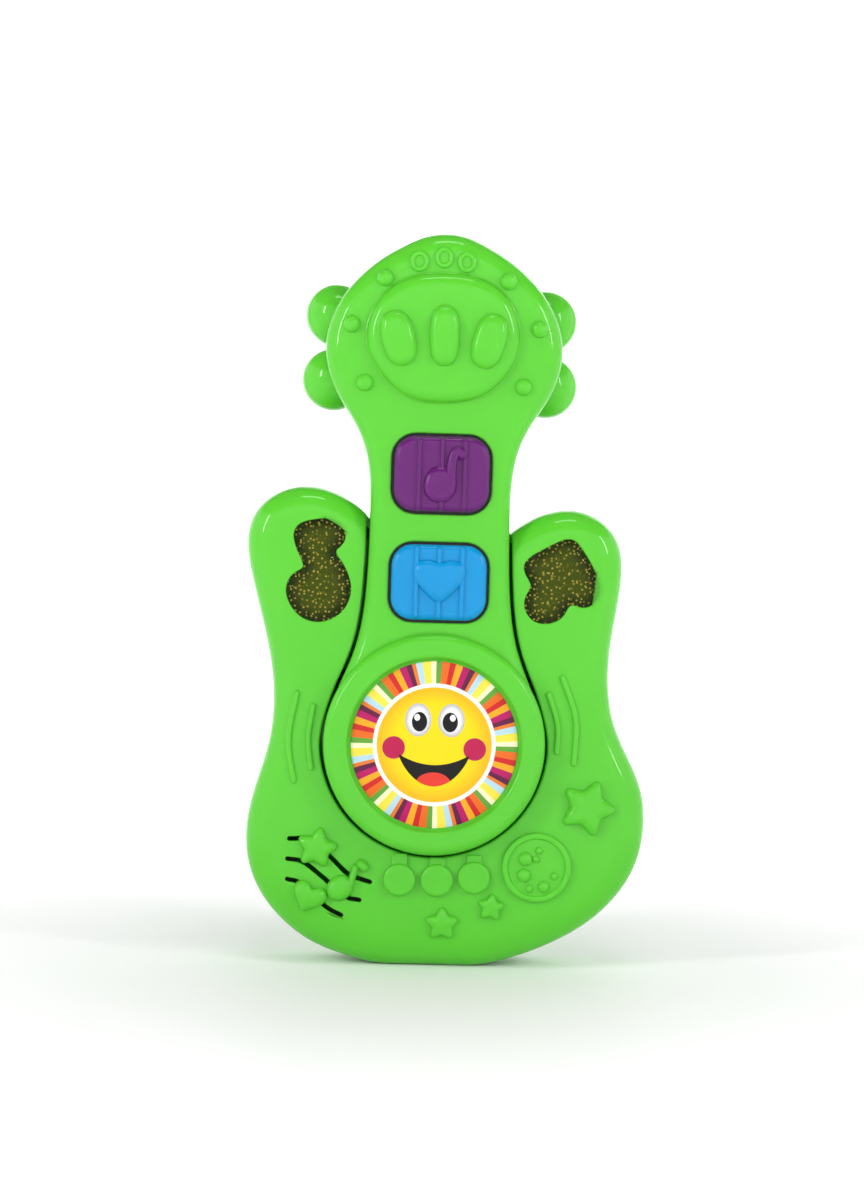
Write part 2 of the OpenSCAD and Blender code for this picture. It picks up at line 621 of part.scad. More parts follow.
module speaker_cone() color("dimgray") speaker_turned([[cup_r - 0.7, -0.9], [cup_r - 0.7, -0.5], [3.4, 2.4],
    [0, 1.6], [0, 1.2], [3.6, 2], [cup_r - 2.2, -0.9]]);

module speaker_magnet() color("gray") speaker_turned([[0, 4.25], [magnet_r, 4.25], [magnet_r, 7.8], [0, 7.8]]);

module speaker_clamp() color("silver") difference() {
    union() {
        bar(speaker_at, speaker_r + 1.7, speaker_flange_y, speaker_flange_y + clamp_t);
        for (at = clamp_ear_ats) bar(at, 2.6, speaker_flange_y, speaker_flange_y + clamp_t);
    }
    bar(speaker_at, speaker_r - 0.9, speaker_flange_y - 1, speaker_flange_y + 3);
    for (at = clamp_ear_ats) bar(at, small_screw_r + 0.15, speaker_flange_y - 1, speaker_flange_y + 3);
}

// ---- lenses and lights ----------------------------------------------------

module lens(curve) color("olive") {
    slab(body_face - 0.5, body_floor + 0.1) polygon(curve);
    slab(body_floor + 0.05, body_floor + 1.2) polygon(inset(curve, -1.6));
}

module glitter(curve) color("goldenrod") slab(body_floor + 1.25, body_floor + 1.5) polygon(inset(curve, -1.4));

module led(at) color("white") {
    bar(at, led_r, led_tip + led_r, led_base);
    translate([at[0], led_tip + led_r, at[1]]) sphere(r = led_r);
    bar(at, led_r + 0.4, led_base - 1, led_base);
}

module lens_left() lens(lens_curves[0]);
module lens_right() lens(lens_curves[1]);
module glitter_left() glitter(lens_curves[0]);
module glitter_right() glitter(lens_curves[1]);
module led_left() led(led_ats[0]);
module led_right() led(led_ats[1]);

module face_label() color("yellow") bar(ring_at, label_r * u, label_face - label_t, label_face);

// ---- switch ---------------------------------------------------------------

module switch_body() color("silver") difference() {
    y = switch_floor - 2.05;
    union() {
        box([switch_at[0] - 6, y - 5, switch_at[1] - 2.9], [switch_at[0] + 6, y, switch_at[1] + 2.9]);
        box([switch_at[0] - 9.5, y - 0.8, switch_at[1] - 2.4], [switch_at[0] + 9.5, y, switch_at[1] + 2.4]);
    }
    box([switch_at[0] - 4.9, y - 3.4, switch_at[1] - 1.9], [switch_at[0] + 4.9, y + 1, switch_at[1] + 1.9]);
    for (s = [-1, 1]) bar(switch_at + [7.7 * s, 0], 1.05, y - 2, y + 1);
}

module switch_knob() color("black") translate([switch_at[0] - switch_travel / 2, 0, switch_at[1]]) {
    box([-1.4, switch_floor - 5, -1.3], [1.4, switch_floor + 0.4, 1.3]);
    box([-3.2, switch_floor + fit, -3], [3.2, switch_floor + 1.6, 3]);
    for (x = [-1.8, -0.6, 0.6, 1.8]) box([x - 0.25, switch_floor + 1.5, -2.6], [x + 0.25, switch_floor + 2.1, 2.6]);
}

// ---- leads ----------------------------------------------------------------

module speaker_leads() color("red") for (s = [0, 1]) {
    shift = [2.2 * s, 0, -1.2 * s];
    start = [speaker_at[0] + 4, speaker_flange_y + 5.2, speaker_at[1] + 8.2];
    wire([start + 2 * shift, [-27 * u, -1, 41 * u] + shift, [-22 * u, 0.5, 43.5 * u] + shift,
          [-18.5 * u, -0.4, 48 * u] + shift, [-17 * u, -4, 53 * u] + shift,
          [-16 * u, main_board_back + 0.7, 57 * u] + shift]);
}

module battery_leads() color("black") for (s = [-1, 1]) {
    z = bay_z[1] + bay_wall + 1.4;
    wire([[s * (bay_half + bay_wall + 0.9), 6, cells_z[1] + 4], [s * (bay_half + bay_wall + 0.9), 3, z - 1],
          [s * 20, -2.4, z], [s * 12, -3.6, 92 * u], [s * 12, main_board_back + 0.7, 88 * u]]);
}

module led_leads() color("white") for (at = led_ats, s = [-1, 1])
    wire([[at[0] + 1.2 * s, led_base + 0.1, at[1]], [at[0] + 1.2 * s, led_base + 2.2, at[1] - 0.8]], 0.35);

// ---- fasteners ------------------------------------------------------------

module shell_screws() color("silver")
    for (at = body_screw_ats) screw(at, screw_r, screw_tip, body_seat, screw_head_r, screw_head_t);

module panel_screws() color("silver") {
    for (at = recess_screw_ats) screw(at, screw_r, screw_tip, body_seat, screw_head_r, screw_head_t);
    for (at = neck_screw_ats) screw(at, screw_r, screw_tip, neck_seat, screw_head_r, screw_head_t);
}

body_front_shell();
neck_front_panel();
back_shell();
face_label();
lens_left();
lens_right();
glitter_left();
glitter_right();
battery_door();
door_screw();
button_purple();
button_blue();
dome_purple();
dome_blue();
button_board();
main_board();
chip_blob();
capacitor();
button_ribbon();
speaker_basket();
speaker_cone();
speaker_magnet();
speaker_clamp();
speaker_leads();
led_left();
led_right();
led_leads();
battery_cell_upper();
battery_cell_lower();
contact_plates();
contact_springs();
battery_leads();
switch_body();
switch_knob();
shell_screws();
panel_screws();
board_screws();
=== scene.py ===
"""Toy electric guitar: moulded shells, press keys, printed sun, glitter windows and the works inside."""
import math

import bmesh
import bpy
import numpy as np
from bpy.props import FloatProperty, FloatVectorProperty, PointerProperty
from bpy.types import Operator, Panel, PropertyGroup
from mathutils import Matrix, Vector
from mathutils.geometry import delaunay_2d_cdt


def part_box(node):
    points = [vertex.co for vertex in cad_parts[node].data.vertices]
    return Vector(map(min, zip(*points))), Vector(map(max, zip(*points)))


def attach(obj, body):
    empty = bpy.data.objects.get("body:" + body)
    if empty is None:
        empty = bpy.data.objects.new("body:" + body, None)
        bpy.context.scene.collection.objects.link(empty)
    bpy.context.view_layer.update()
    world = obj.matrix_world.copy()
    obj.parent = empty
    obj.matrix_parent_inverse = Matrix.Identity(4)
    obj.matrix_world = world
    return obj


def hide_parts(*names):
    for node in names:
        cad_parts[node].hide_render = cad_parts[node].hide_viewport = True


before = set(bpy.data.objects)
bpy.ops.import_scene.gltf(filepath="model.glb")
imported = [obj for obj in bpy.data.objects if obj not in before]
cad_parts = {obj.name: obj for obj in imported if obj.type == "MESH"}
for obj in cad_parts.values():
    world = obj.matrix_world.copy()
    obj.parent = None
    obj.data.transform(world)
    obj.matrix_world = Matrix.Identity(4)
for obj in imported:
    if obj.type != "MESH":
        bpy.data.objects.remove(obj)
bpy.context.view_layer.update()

bl_info = {
    "name": "Toy Electric Guitar",
    "version": (1, 0, 0),
    "blender": (4, 5, 0),
    "location": "3D View > Sidebar > Toy Guitar",
    "description": "Builds a child's toy electric guitar piece by piece round its packed frame",
    "category": "Add Mesh",
}

# Outlines are lists of x and z in millimetres, seen from the front. Depths are y, with the face at
# negative y.
FACE, BACK = -16.0, 18.0
NECK_FACE, NECK_BACK = -20.0, 11.0
FRONT_END, BACK_END = -1.6, -1.5
WALL = 2.2
RING_AT, RING_R = (0.0, 73.5), 36.2
LABEL_FACE = -20.5
BOSS_FACE = NECK_FACE - 3.6

BODY = [[-15, 0], [-5, 0], [5, 0], [15, 0], [30, 3.6], [43.2, 9.3], [54, 16.2], [63.1, 25.7],
        [68.5, 36], [70.5, 48], [69, 60], [63.8, 71.5], [59.3, 82], [57.3, 95], [57.9, 108],
        [59.7, 120], [60.8, 131], [59.8, 139.4], [56.4, 145.2], [51, 149.3], [44, 151.1],
        [36.5, 150.2], [30, 147.3], [24, 143], [17, 137], [-17, 140], [-23.5, 147.5], [-29, 152],
        [-35.5, 155.2], [-42, 156.6], [-48.5, 156], [-54.7, 153.3], [-60, 148.2], [-62.5, 141],
        [-62.2, 133], [-60.3, 124.5], [-57.4, 113.5], [-54.8, 103], [-53.1, 92], [-52.9, 82],
        [-54.1, 72], [-57, 61.5], [-59.8, 51], [-60.8, 42], [-59.4, 31.5], [-55.3, 22.4],
        [-48.5, 14.2], [-39, 7.2], [-28.5, 3]]
NECK_SIDE = [[34.3, 83.5], [31.8, 91], [27.7, 101], [25, 111], [23.8, 120], [23.1, 131],
             [22.8, 145], [23, 157], [24.1, 166], [26.4, 173.4], [30, 180], [33.6, 185.3], [36.5, 191],
             [38.3, 197.5], [38.7, 204], [37.3, 211], [33.6, 218.8], [28, 225.6], [21.5, 231.2],
             [14.3, 235.6], [6.8, 239]]
BOSS = [[-1.4, 226.4], [8.4, 225.7], [17, 221.7], [22.3, 214.3], [24.1, 205.8], [22.8, 199], [19.5, 193.4],
        [14.6, 188.6], [8.7, 185.9], [1.1, 184.8], [-6.6, 185], [-13.4, 187.3], [-19.5, 192.6],
        [-23.5, 198.5], [-25.4, 204.3], [-24.7, 211.1], [-21.1, 218], [-14.5, 223.7], [-7.7, 225.9]]
LENS_LEFT = [[-44.5, 144.6], [-39.3, 145.8], [-34.8, 145.8], [-31.9, 143.8], [-30.8, 140.9], [-31.8, 137.8],
             [-33.8, 135.5], [-32.2, 132.6], [-29.8, 128.5], [-28.6, 124.1], [-28.9, 120.7], [-30.6, 116.9],
             [-33.9, 114], [-38.4, 112.5], [-43.3, 113.4], [-46.7, 116.1], [-48.9, 119.8], [-49.4, 123.1],
             [-48.5, 126.1], [-46.3, 128.4], [-44.1, 130], [-44.5, 132.3], [-46.1, 135.6], [-47.2, 138.9],
             [-47.3, 141.5], [-46.3, 143.4]]
LENS_RIGHT = [[41.7, 141.3], [39.1, 140.4], [33.5, 137.4], [29.8, 135], [28.2, 132.8], [28.3, 130.5],
              [29.7, 127.9], [30.5, 125.9], [29.4, 123.4], [28.5, 120], [29.6, 116.6], [32.3, 114.3],
              [35, 113.8], [38.3, 114.4], [41.3, 116.6], [42.7, 119.2], [44, 120.2], [46.8, 119.5],
              [50.3, 120.2], [52.7, 123.2], [52.8, 127], [51.2, 131.1], [48.6, 135.6], [46.3, 138.9],
              [44.3, 140.9]]
SLOTS = [[[-46.3, 41.3], [-38.8, 41], [-31.8, 34.7], [-26.6, 30.1], [-19.7, 27.7]],
         [[-46.7, 34.7], [-41.7, 33.8], [-35.3, 29.1], [-27.7, 22.9], [-23, 21.7]],
         [[-46.6, 28], [-42.1, 26.6], [-33.8, 19.3], [-28.8, 16.6]]]
RIBS = [[[-45, 89.9], [-47.5, 73.9], [-45.2, 59.3]], [[-39.6, 85.8], [-41, 74], [-39.7, 63.6]],
        [[36.9, 91.5], [40.3, 80.7], [40.3, 70.7]], [[41.2, 97.1], [46.2, 82.7], [46, 67.1]]]
BALLS = [(-35.3, 213.8), (-36.0, 192.5), (34.1, 213.6), (34.7, 192.0)]
BODY_SCREWS = [(-6, 13), (56, 44), (-50, 57), (-46, 100), (48, 104)]
PANEL_SCREWS = [(20, 104), (-20, 104)]
NECK_SCREWS = [(0, 182.5), (-22, 214), (22, 214)]
KEYS = {"purple": (0.0, 161.5), "blue": (0.0, 126.3)}
SPEAKER_AT = (-33.5, 30.0)
SWITCH_AT = (0.0, 112.0)
DOOR = (-33.0, 33.0, 46.0, 88.0)
DOOR_SCREW_AT = (0.0, 49.5)


# ---- sizes and colours ------------------------------------------------------

def length(name, description, millimetres):
    """A length the user may change, kept in metres and shown in the scene's unit."""
    return FloatProperty(name=name, description=description, default=millimetres / 1000, min=0.0,
                         unit="LENGTH", subtype="DISTANCE", precision=5)


def colour(name, description, rgb):
    """A colour the user may change, as linear red, green and blue."""
    return FloatVectorProperty(name=name, description=description, default=rgb, size=3, min=0.0, max=1.0,
                               subtype="COLOR")


class ToyGuitarSizes(PropertyGroup):
    """Edges and raised shapes of the moulded plastic."""
    side_band: length("Side rounding", "In-plane width of the rounded band along the body's sides", 8.5)
    foot_band: length("Foot rounding", "Extra width of the rounded band at the body's foot", 3.5)
    edge_depth: length("Edge depth", "How far the rounded band drops from the body's face", 8.0)
    neck_edge: length("Neck edge", "Rounding of the neck's long edges", 4.3)
    head_edge: length("Head edge", "Rounding of the head's rim", 7.0)
    recess_lip: length("Recess lip", "Small rounding where the body's face meets the neck recess", 0.7)
    panel_gap: length("Panel gap", "Open line between the neck panel and the body", 1.1)
    ring_rise: length("Ring rise", "Height of the ring's flat crest above the neck's face", 3.0)
    ring_edge: length("Ring edge", "Rounding of the ring's outer edge", 2.8)
    badge_rise: length("Badge rise", "Height of the large raised star", 3.0)
    small_badge_rise: length("Small badge rise", "Height of the two small stars", 2.0)
    rib_rise: length("Rib rise", "Height of the long ribs beside the ring", 1.0)
    key_edge: length("Key edge", "Rounding of a key's top edge", 2.2)
    string_rise: length("String rise", "Height of the strings moulded on the keys", 0.9)
    glitter_size: length("Glitter size", "Width of one glitter flake", 0.7)


class ToyGuitarColours(PropertyGroup):
    """Colours of the plastics and the print."""
    shell: colour("Shell", "Green plastic of the casing", (0.092, 0.51, 0.028))
    purple: colour("Purple key", "Plastic of the upper key", (0.108, 0.008, 0.132))
    blue: colour("Blue key", "Plastic of the lower key", (0.0005, 0.25, 0.56))
    lens: colour("Window tint", "Smoky plastic of the windows", (0.030, 0.045, 0.002))
    glitter: colour("Glitter", "Gold flakes behind the windows", (1.0, 0.74, 0.10))
    sun: colour("Sun", "Yellow of the printed sun", (0.98, 0.74, 0.005))
    board: colour("Board", "Solder mask of the circuit boards", (0.02, 0.12, 0.04))
    floor: colour("Floor", "Pale studio floor", (0.92, 0.92, 0.92))


# ---- outlines ---------------------------------------------------------------

def even(path, count, closed=True):
    """Points at equal steps of length along a path."""
    path = np.vstack([path, path[:1]]) if closed else np.asarray(path, float)
    along = np.concatenate([[0], np.cumsum(np.linalg.norm(np.diff(path, axis=0), axis=1))])
    at = np.linspace(0, along[-1], count + 1 if closed else count)[:count]
    return np.stack([np.interp(at, along, path[:, k]) for k in range(path.shape[1])], -1)


def closed_curve(points, count, soften=0.0):
    """Closed cubic curve through the points: second slopes match at each point, and are solved from one
    linear system. soften, in mm, then rounds it with a Gaussian over its length."""
    p = np.asarray(points, float)
    n = len(p)
    h = np.linalg.norm(np.roll(p, -1, 0) - p, axis=1) ** 0.75
    back = np.roll(h, 1)
    rows = np.arange(n)
    system = np.zeros((n, n))
    system[rows, rows] = 2 * (back + h)
    system[rows, (rows + 1) % n] += h
    system[rows, (rows - 1) % n] += back
    slope = (np.roll(p, -1, 0) - p) / h[:, None]
    bend = np.linalg.solve(system, 6 * (slope - np.roll(slope, 1, 0)))
    t = (np.arange(60) / 60)[None, :, None]
    h, after, bend_after = h[:, None, None], np.roll(p, -1, 0)[:, None], np.roll(bend, -1, 0)[:, None]
    curve = ((1 - t) * p[:, None] + t * after
             + h ** 2 / 6 * (((1 - t) ** 3 - (1 - t)) * bend[:, None] + (t ** 3 - t) * bend_after))
    curve = even(curve.reshape(-1, 2), 4096)
    return even(softened(curve, soften) if soften else curve, count)


def softened(loop, by):
    """The closed loop smoothed by a Gaussian of that width along its length, worked out on its
    frequencies."""
    total = np.linalg.norm(np.roll(loop, -1, 0) - loop, axis=1).sum()
    wave = np.fft.fftfreq(len(loop), total / len(loop))
    pull = np.exp(-2 * (np.pi * wave * by) ** 2)[:, None]
    return np.fft.ifft(np.fft.fft(loop, axis=0) * pull, axis=0).real


def open_curve(points, count):
    """Smooth open path through the points: the cubic of a Catmull-Rom segment between each pair."""
    p = np.asarray(points, float)
    q = np.vstack([2 * p[0] - p[1], p, 2 * p[-1] - p[-2]])
    a, b, c, d = q[:-3, None], q[1:-2, None], q[2:-1, None], q[3:, None]
    t = np.linspace(0, 1, 41)[None, :, None]
    curve = 0.5 * (2 * b + (c - a) * t + (2 * a - 5 * b + 4 * c - d) * t ** 2
                   + (3 * b - a - 3 * c + d) * t ** 3)
    return even(curve.reshape(-1, p.shape[1]), count, closed=False)


def inward(loop):
    """Unit normals that point into an anticlockwise loop."""
    along = np.roll(loop, -1, 0) - np.roll(loop, 1, 0)
    along /= np.linalg.norm(along, axis=1)[:, None]
    return np.stack([-along[:, 1], along[:, 0]], -1)


def inset(loop, by):
    """The loop moved along its inward normals; by may differ from point to point."""
    return loop + np.broadcast_to(by, len(loop))[:, None] * inward(loop)


def turned_left(loop):
    """The loop in anticlockwise order: its signed area is positive."""
    loop = np.asarray(loop, float)
    x, z = loop[:, 0], loop[:, 1]
    return loop if (x * np.roll(z, -1) - np.roll(x, -1) * z).sum() > 0 else loop[::-1]


def circle(at, r, count=48):
    """Evenly spaced points on a circle."""
    a = np.arange(count) * 2 * np.pi / count
    return np.stack([at[0] + r * np.cos(a), at[1] + r * np.sin(a)], -1)


def placed(x, z, at, turn):
    """Points turned by an angle in degrees about the origin and moved so that it lies at the given place."""
    w = math.radians(turn)
    return np.stack([at[0] + x * math.cos(w) - z * math.sin(w),
                     at[1] + x * math.sin(w) + z * math.cos(w)], -1)


def oval(at, half_w, half_h, turn=0.0, power=2.0, count=72):
    """|x/w|^power + |z/h|^power = 1, turned by an angle in degrees."""
    a = np.arange(count) * 2 * np.pi / count
    c, s = np.cos(a), np.sin(a)
    x, z = half_w * np.sign(c) * abs(c) ** (2 / power), half_h * np.sign(s) * abs(s) ** (2 / power)
    return even(placed(x, z, at, turn), count)


def round_rect(low_x, high_x, low_z, high_z, r, steps=9):
    """Rectangle whose corners are quarter circles of radius r, with points along its sides too."""
    a = np.linspace(0, np.pi / 2, steps)
    mid = [(high_x - r, high_z - r), (low_x + r, high_z - r), (low_x + r, low_z + r), (high_x - r, low_z + r)]
    corners = [np.stack([m[0] + r * np.cos(a + k * np.pi / 2), m[1] + r * np.sin(a + k * np.pi / 2)], -1)
               for k, m in enumerate(mid)]
    share = np.linspace(0, 1, 9)[1:-1, None]
    sides = [c[-1] + (corners[(k + 1) % 4][0] - c[-1]) * share for k, c in enumerate(corners)]
    return np.vstack([part for pair in zip(corners, sides) for part in pair])


def star(at, r, turn, tip=0.2, valley=0.43, count=200):
    """Five-pointed star with round points, as shares of r: a straight side runs from the middle of each
    point's circle, of radius tip, to an inner corner at valley, and is pushed out by tip. A ray at angle f
    from a point leaves through that circle or through the side."""
    a = np.arange(1024) * 2 * np.pi / 1024
    f = abs((a + np.pi / 5) % (2 * np.pi / 5) - np.pi / 5)
    point, corner = np.array([1 - tip, 0]), valley * np.array([math.cos(np.pi / 5), math.sin(np.pi / 5)])
    side = (corner - point) / np.linalg.norm(corner - point)
    out = np.array([side[1], -side[0]])
    touch = point + tip * out
    by_circle = point[0] * np.cos(f) + np.sqrt(np.maximum(tip ** 2 - (point[0] * np.sin(f)) ** 2, 0))
    by_side = (out @ point + tip) / (out[0] * np.cos(f) + out[1] * np.sin(f))
    reach = r * np.where(f < math.atan2(touch[1], touch[0]), by_circle, by_side)
    a = a + math.radians(turn)
    loop = np.stack([at[0] + reach * np.cos(a), at[1] + reach * np.sin(a)], -1)
    return even(softened(even(loop, 1024), 0.05 * r), count)


def stadium(route, half, count=22):
    """Outline of a strip of that half width along an open route, with round ends."""
    along = np.gradient(route, axis=0)
    along /= np.linalg.norm(along, axis=1)[:, None]
    side = half * np.stack([along[:, 1], -along[:, 0]], -1)
    a = np.linspace(0, np.pi, count)[1:-1, None]
    cap_end = route[-1] + np.cos(a) * side[-1] + np.sin(a) * half * along[-1]
    cap_start = route[0] - np.cos(a) * side[0] - np.sin(a) * half * along[0]
    return np.vstack([route + side, cap_end, (route - side)[::-1], cap_start])


def inside(points, loop):
    """True where a ray to the right of a point crosses the closed loop an odd number of times."""
    a, b = loop, np.roll(loop, -1, 0)
    x, z = points[:, :1], points[:, 1:]
    spans = (a[:, 1] > z) != (b[:, 1] > z)
    rise = np.where(b[:, 1] == a[:, 1], 1.0, b[:, 1] - a[:, 1])
    meets = a[:, 0] + (z - a[:, 1]) * (b[:, 0] - a[:, 0]) / rise
    return (spans & (x < meets)).sum(1) % 2 == 1


def crossing(within, beyond, edge):
    """Where the line from a point inside a closed loop to one beyond it meets the loop, by halving."""
    for _ in range(24):
        mid = (within + beyond) / 2
        within, beyond = (mid, beyond) if inside(mid[None], edge)[0] else (within, mid)
    return beyond


def kept_within(path, loop):
    """The part of an open path inside a closed loop, with as many points at the same shares of its length."""
    held = np.flatnonzero(inside(path, loop))
    cut = path[held[0]: held[-1] + 1]
    if held[0] > 0:
        cut = np.vstack([crossing(path[held[0]], path[held[0] - 1], loop), cut])
    if held[-1] < len(path) - 1:
        cut = np.vstack([cut, crossing(path[held[-1]], path[held[-1] + 1], loop)])
    shares = []
    for line in (path, cut):
        along = np.concatenate([[0], np.cumsum(np.linalg.norm(np.diff(line, axis=0), axis=1))])
        shares.append(along / along[-1])
    return np.stack([np.interp(shares[0], shares[1], cut[:, k]) for k in (0, 1)], -1)


def outer_run(loop, edge):
    """The longest stretch of a closed loop that lies outside the edge, ending where it crosses it."""
    out = ~inside(loop, edge)
    starts = np.flatnonzero(out & ~np.roll(out, 1))
    lengths = [np.argmin(np.roll(out, -s)) for s in starts]
    start, count = starts[int(np.argmax(lengths))], max(lengths)
    loop = np.roll(loop, -start, 0)
    first, last = crossing(loop[-1], loop[0], edge), crossing(loop[count], loop[count - 1], edge)
    return np.vstack([first, loop[:count], last])


def nearest(points, loop):
    """Distance to a closed loop, and the index of the loop's nearest segment."""
    step = np.roll(loop, -1, 0) - loop
    away = points[:, None] - loop[None]
    t = np.clip((away * step).sum(-1) / (step ** 2).sum(-1), 0, 1)
    gap = ((away - t[..., None] * step) ** 2).sum(-1)
    at = gap.argmin(1)
    return np.sqrt(gap[np.arange(len(points)), at]), at


# ---- surfaces ---------------------------------------------------------------

def lift(loop, y):
    """x and z with a depth, which is one number or one for each point."""
    return np.stack([loop[:, 0], np.broadcast_to(y, len(loop)), loop[:, 1]], -1)


class Form:
    """Surface of one piece in millimetres, gathered patch by patch and joined where the patches meet."""

    def __init__(self):
        self.points, self.count = [], 0
        self.quads, self.tris = [np.zeros((0, 4), int)], [np.zeros((0, 3), int)]

    def add(self, points, quads=None, tris=None):
        """More points, with faces that count from the first of them."""
        points = np.asarray(points, float).reshape(-1, 3)
        if quads is not None:
            self.quads.append(np.asarray(quads).reshape(-1, 4) + self.count)
        if tris is not None:
            self.tris.append(np.asarray(tris).reshape(-1, 3) + self.count)
        self.points.append(points)
        self.count += len(points)

    def grid(self, rows, around=False):
        """Rows of points joined by quads; around closes every row on itself."""
        rows = np.asarray(rows, float)
        i = np.arange(rows.shape[0] * rows.shape[1]).reshape(rows.shape[:2])
        near, far = (i, np.roll(i, -1, 1)) if around else (i[:, :-1], i[:, 1:])
        self.add(rows, quads=np.stack([near[:-1], far[:-1], far[1:], near[1:]], -1))

    def fill(self, loops, y):
        """Flat region at depth y inside the first loop and outside the others, as Delaunay triangles."""
        flat = np.concatenate(loops)
        ends = np.cumsum([len(loop) for loop in loops])
        own = np.arange(len(flat))
        after = own + 1
        after[ends - 1] = ends - [len(loop) for loop in loops]
        found = delaunay_2d_cdt(flat.tolist(), np.stack([own, after], -1).tolist(), [], 0, 1e-7)
        at, tris = np.array(found[0]), np.array(found[2])
        middle = at[tris].mean(1)
        kept = inside(middle, loops[0])
        for loop in loops[1:]:
            kept &= ~inside(middle, loop)
        self.add(lift(at, y), tris=tris[kept])

    def stack(self, loop, rows, caps=(False, False)):
        """The loop carried through rows of (inset, depth), with flat caps where asked."""
        rings = [lift(inset(loop, d), y) for d, y in rows]
        self.grid(rings, around=True)
        for ring, wanted in zip((rings[0], rings[-1]), caps):
            if wanted:
                self.fill([ring[:, [0, 2]]], ring[0, 1])

    def turned(self, at, profile, count=64):
        """A profile of (radius, depth) turned about the line through at along y."""
        a = np.arange(count) * 2 * np.pi / count
        r, y = np.asarray(profile, float).T[:, :, None]
        self.grid(np.stack([at[0] + r * np.cos(a), y + 0 * a, at[1] + r * np.sin(a)], -1), around=True)

    def pillow(self, loop, base, rise, full=5.0, round_off=2.0, sink=0.6, rings=14):
        """Swollen top over a loop round its middle: height is rise (1 - t^full)^(1/round_off), where t runs
        from 0 in the middle to 1 at the loop. base gives the surface that it stands on; sink is how deep it
        is buried."""
        middle = loop.mean(0)
        t = np.sin(np.linspace(0, 1, rings) * np.pi / 2) ** 0.8
        t[0], t[-1] = 0, 1
        spread = middle + t[:, None, None] * (loop - middle)
        under = base(spread.reshape(-1, 2)).reshape(rings, -1)
        top = under - rise * ((1 - t ** full) ** (1 / round_off))[:, None]
        rows = np.concatenate([top, under[-1:] + sink, np.broadcast_to(under[:1] + sink, (1, len(loop)))])
        spread = np.concatenate([spread, spread[-1:], spread[:1]])
        self.grid(np.stack([spread[..., 0], rows, spread[..., 1]], -1), around=True)

    def ridge(self, route, half, base, rise, sink=0.5, flatness=2.0, across=13):
        """Raised strip along a route: its section is half a super-ellipse, and its ends are round because the
        width follows the square root of 1 - u^2 over the last half width."""
        steps = np.linalg.norm(np.diff(route, axis=0), axis=1)
        along = np.concatenate([[0], np.cumsum(steps)])
        half = np.broadcast_to(half, len(route))
        u = np.clip(np.maximum(1 - along / half[0], 1 - (along[-1] - along) / half[-1]), 0, 1)
        shrink = np.sqrt(np.maximum(1 - u ** 2, 0))
        way = np.gradient(route, axis=0)
        way /= np.linalg.norm(way, axis=1)[:, None]
        side = np.stack([way[:, 1], -way[:, 0]], -1) * (half * shrink)[:, None]
        v = np.linspace(0, np.pi, across)
        c, s = np.cos(v), np.sin(v)
        c, s = np.sign(c) * abs(c) ** (2 / flatness), abs(s) ** (2 / flatness)
        spread = route[None] + c[:, None, None] * side[None]
        under = base(spread.reshape(-1, 2)).reshape(across, -1)
        top = under - rise * s[:, None] * (shrink ** 0.8)[None]
        low = under[[-1, 0]] + sink
        rows = np.concatenate([top, low])
        spread = np.concatenate([spread, spread[[-1, 0]]])
        section = np.stack([spread[..., 0], rows, spread[..., 1]], -1)
        self.grid(np.concatenate([section, section[:1]]))
        for end in (0, -1):
            self.grid(np.stack([section[: across // 2 + 1, end], section[::-1][2: across // 2 + 3, end]]))

    def mouth(self, loop, face, deeper, r, to, foot=None):
        """Rim of a hole, rounded by a quarter circle. deeper is +1 or -1, the way in. Returns the loop that
        the flat face stops at."""
        rows = [(-r - 0.3, face)]
        rows += [(-r * (1 - math.sin(b)), face + deeper * r * (1 - math.cos(b))) for b in quarter(5)]
        rows.append((0.0, to))
        if foot is not None:
            rows += foot
        self.stack(loop, rows)
        return inset(loop, -r - 0.3)

    def mesh(self, name):
        """The mesh in metres, with near points joined, folded faces dropped and normals turned outward."""
        mesh = bpy.data.meshes.new(name)
        points = np.concatenate(self.points) / 1000
        faces = np.concatenate(self.quads).tolist() + np.concatenate(self.tris).tolist()
        mesh.from_pydata(points.tolist(), [], faces)
        work = bmesh.new()
        work.from_mesh(mesh)
        bmesh.ops.remove_doubles(work, verts=work.verts, dist=3e-6)
        bmesh.ops.dissolve_degenerate(work, edges=work.edges, dist=1e-7)
        bmesh.ops.recalc_face_normals(work, faces=work.faces)
        work.to_mesh(mesh)
        work.free()
        return mesh

    def piece(self, name, material, body, stands_for, slot, sharp=38.0):
        """Puts the mesh in the scene as a piece that rides on a body and stands for CAD nodes. Edges that
        turn by more than sharp degrees stay crisp."""
        mesh = self.mesh(name)
        mesh.polygons.foreach_set("use_smooth", np.ones(len(mesh.polygons), bool))
        mesh.set_sharp_from_angle(angle=math.radians(sharp))
        mesh.materials.append(material)
        thing = bpy.data.objects.new(name, mesh)
        bpy.context.scene.collection.objects.link(thing)
        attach(thing, body)
        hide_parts(*stands_for)
        return thing


def quarter(count=9):
    """Angles from the side of an edge, 0, to its top, a right angle."""
    return np.linspace(0, np.pi / 2, count)


def smooth(x):
    """3x^2 - 2x^3 between 0 and 1."""
    x = np.clip(x, 0, 1)
    return x * x * (3 - 2 * x)


# ---- materials --------------------------------------------------------------

def nodes_of(name):
    """A new node material: its tree, its Principled shader and a call that adds a node."""
    material = bpy.data.materials.new(name)
    material.use_nodes = True
    tree = material.node_tree
    shader = tree.nodes["Principled BSDF"]

    def add(kind, **settings):
        node = tree.nodes.new(kind)
        for key, value in settings.items():
            if hasattr(node, key) and key not in node.inputs:
                setattr(node, key, value)
            else:
                node.inputs[key].default_value = value
        return node
    return material, tree, shader, add


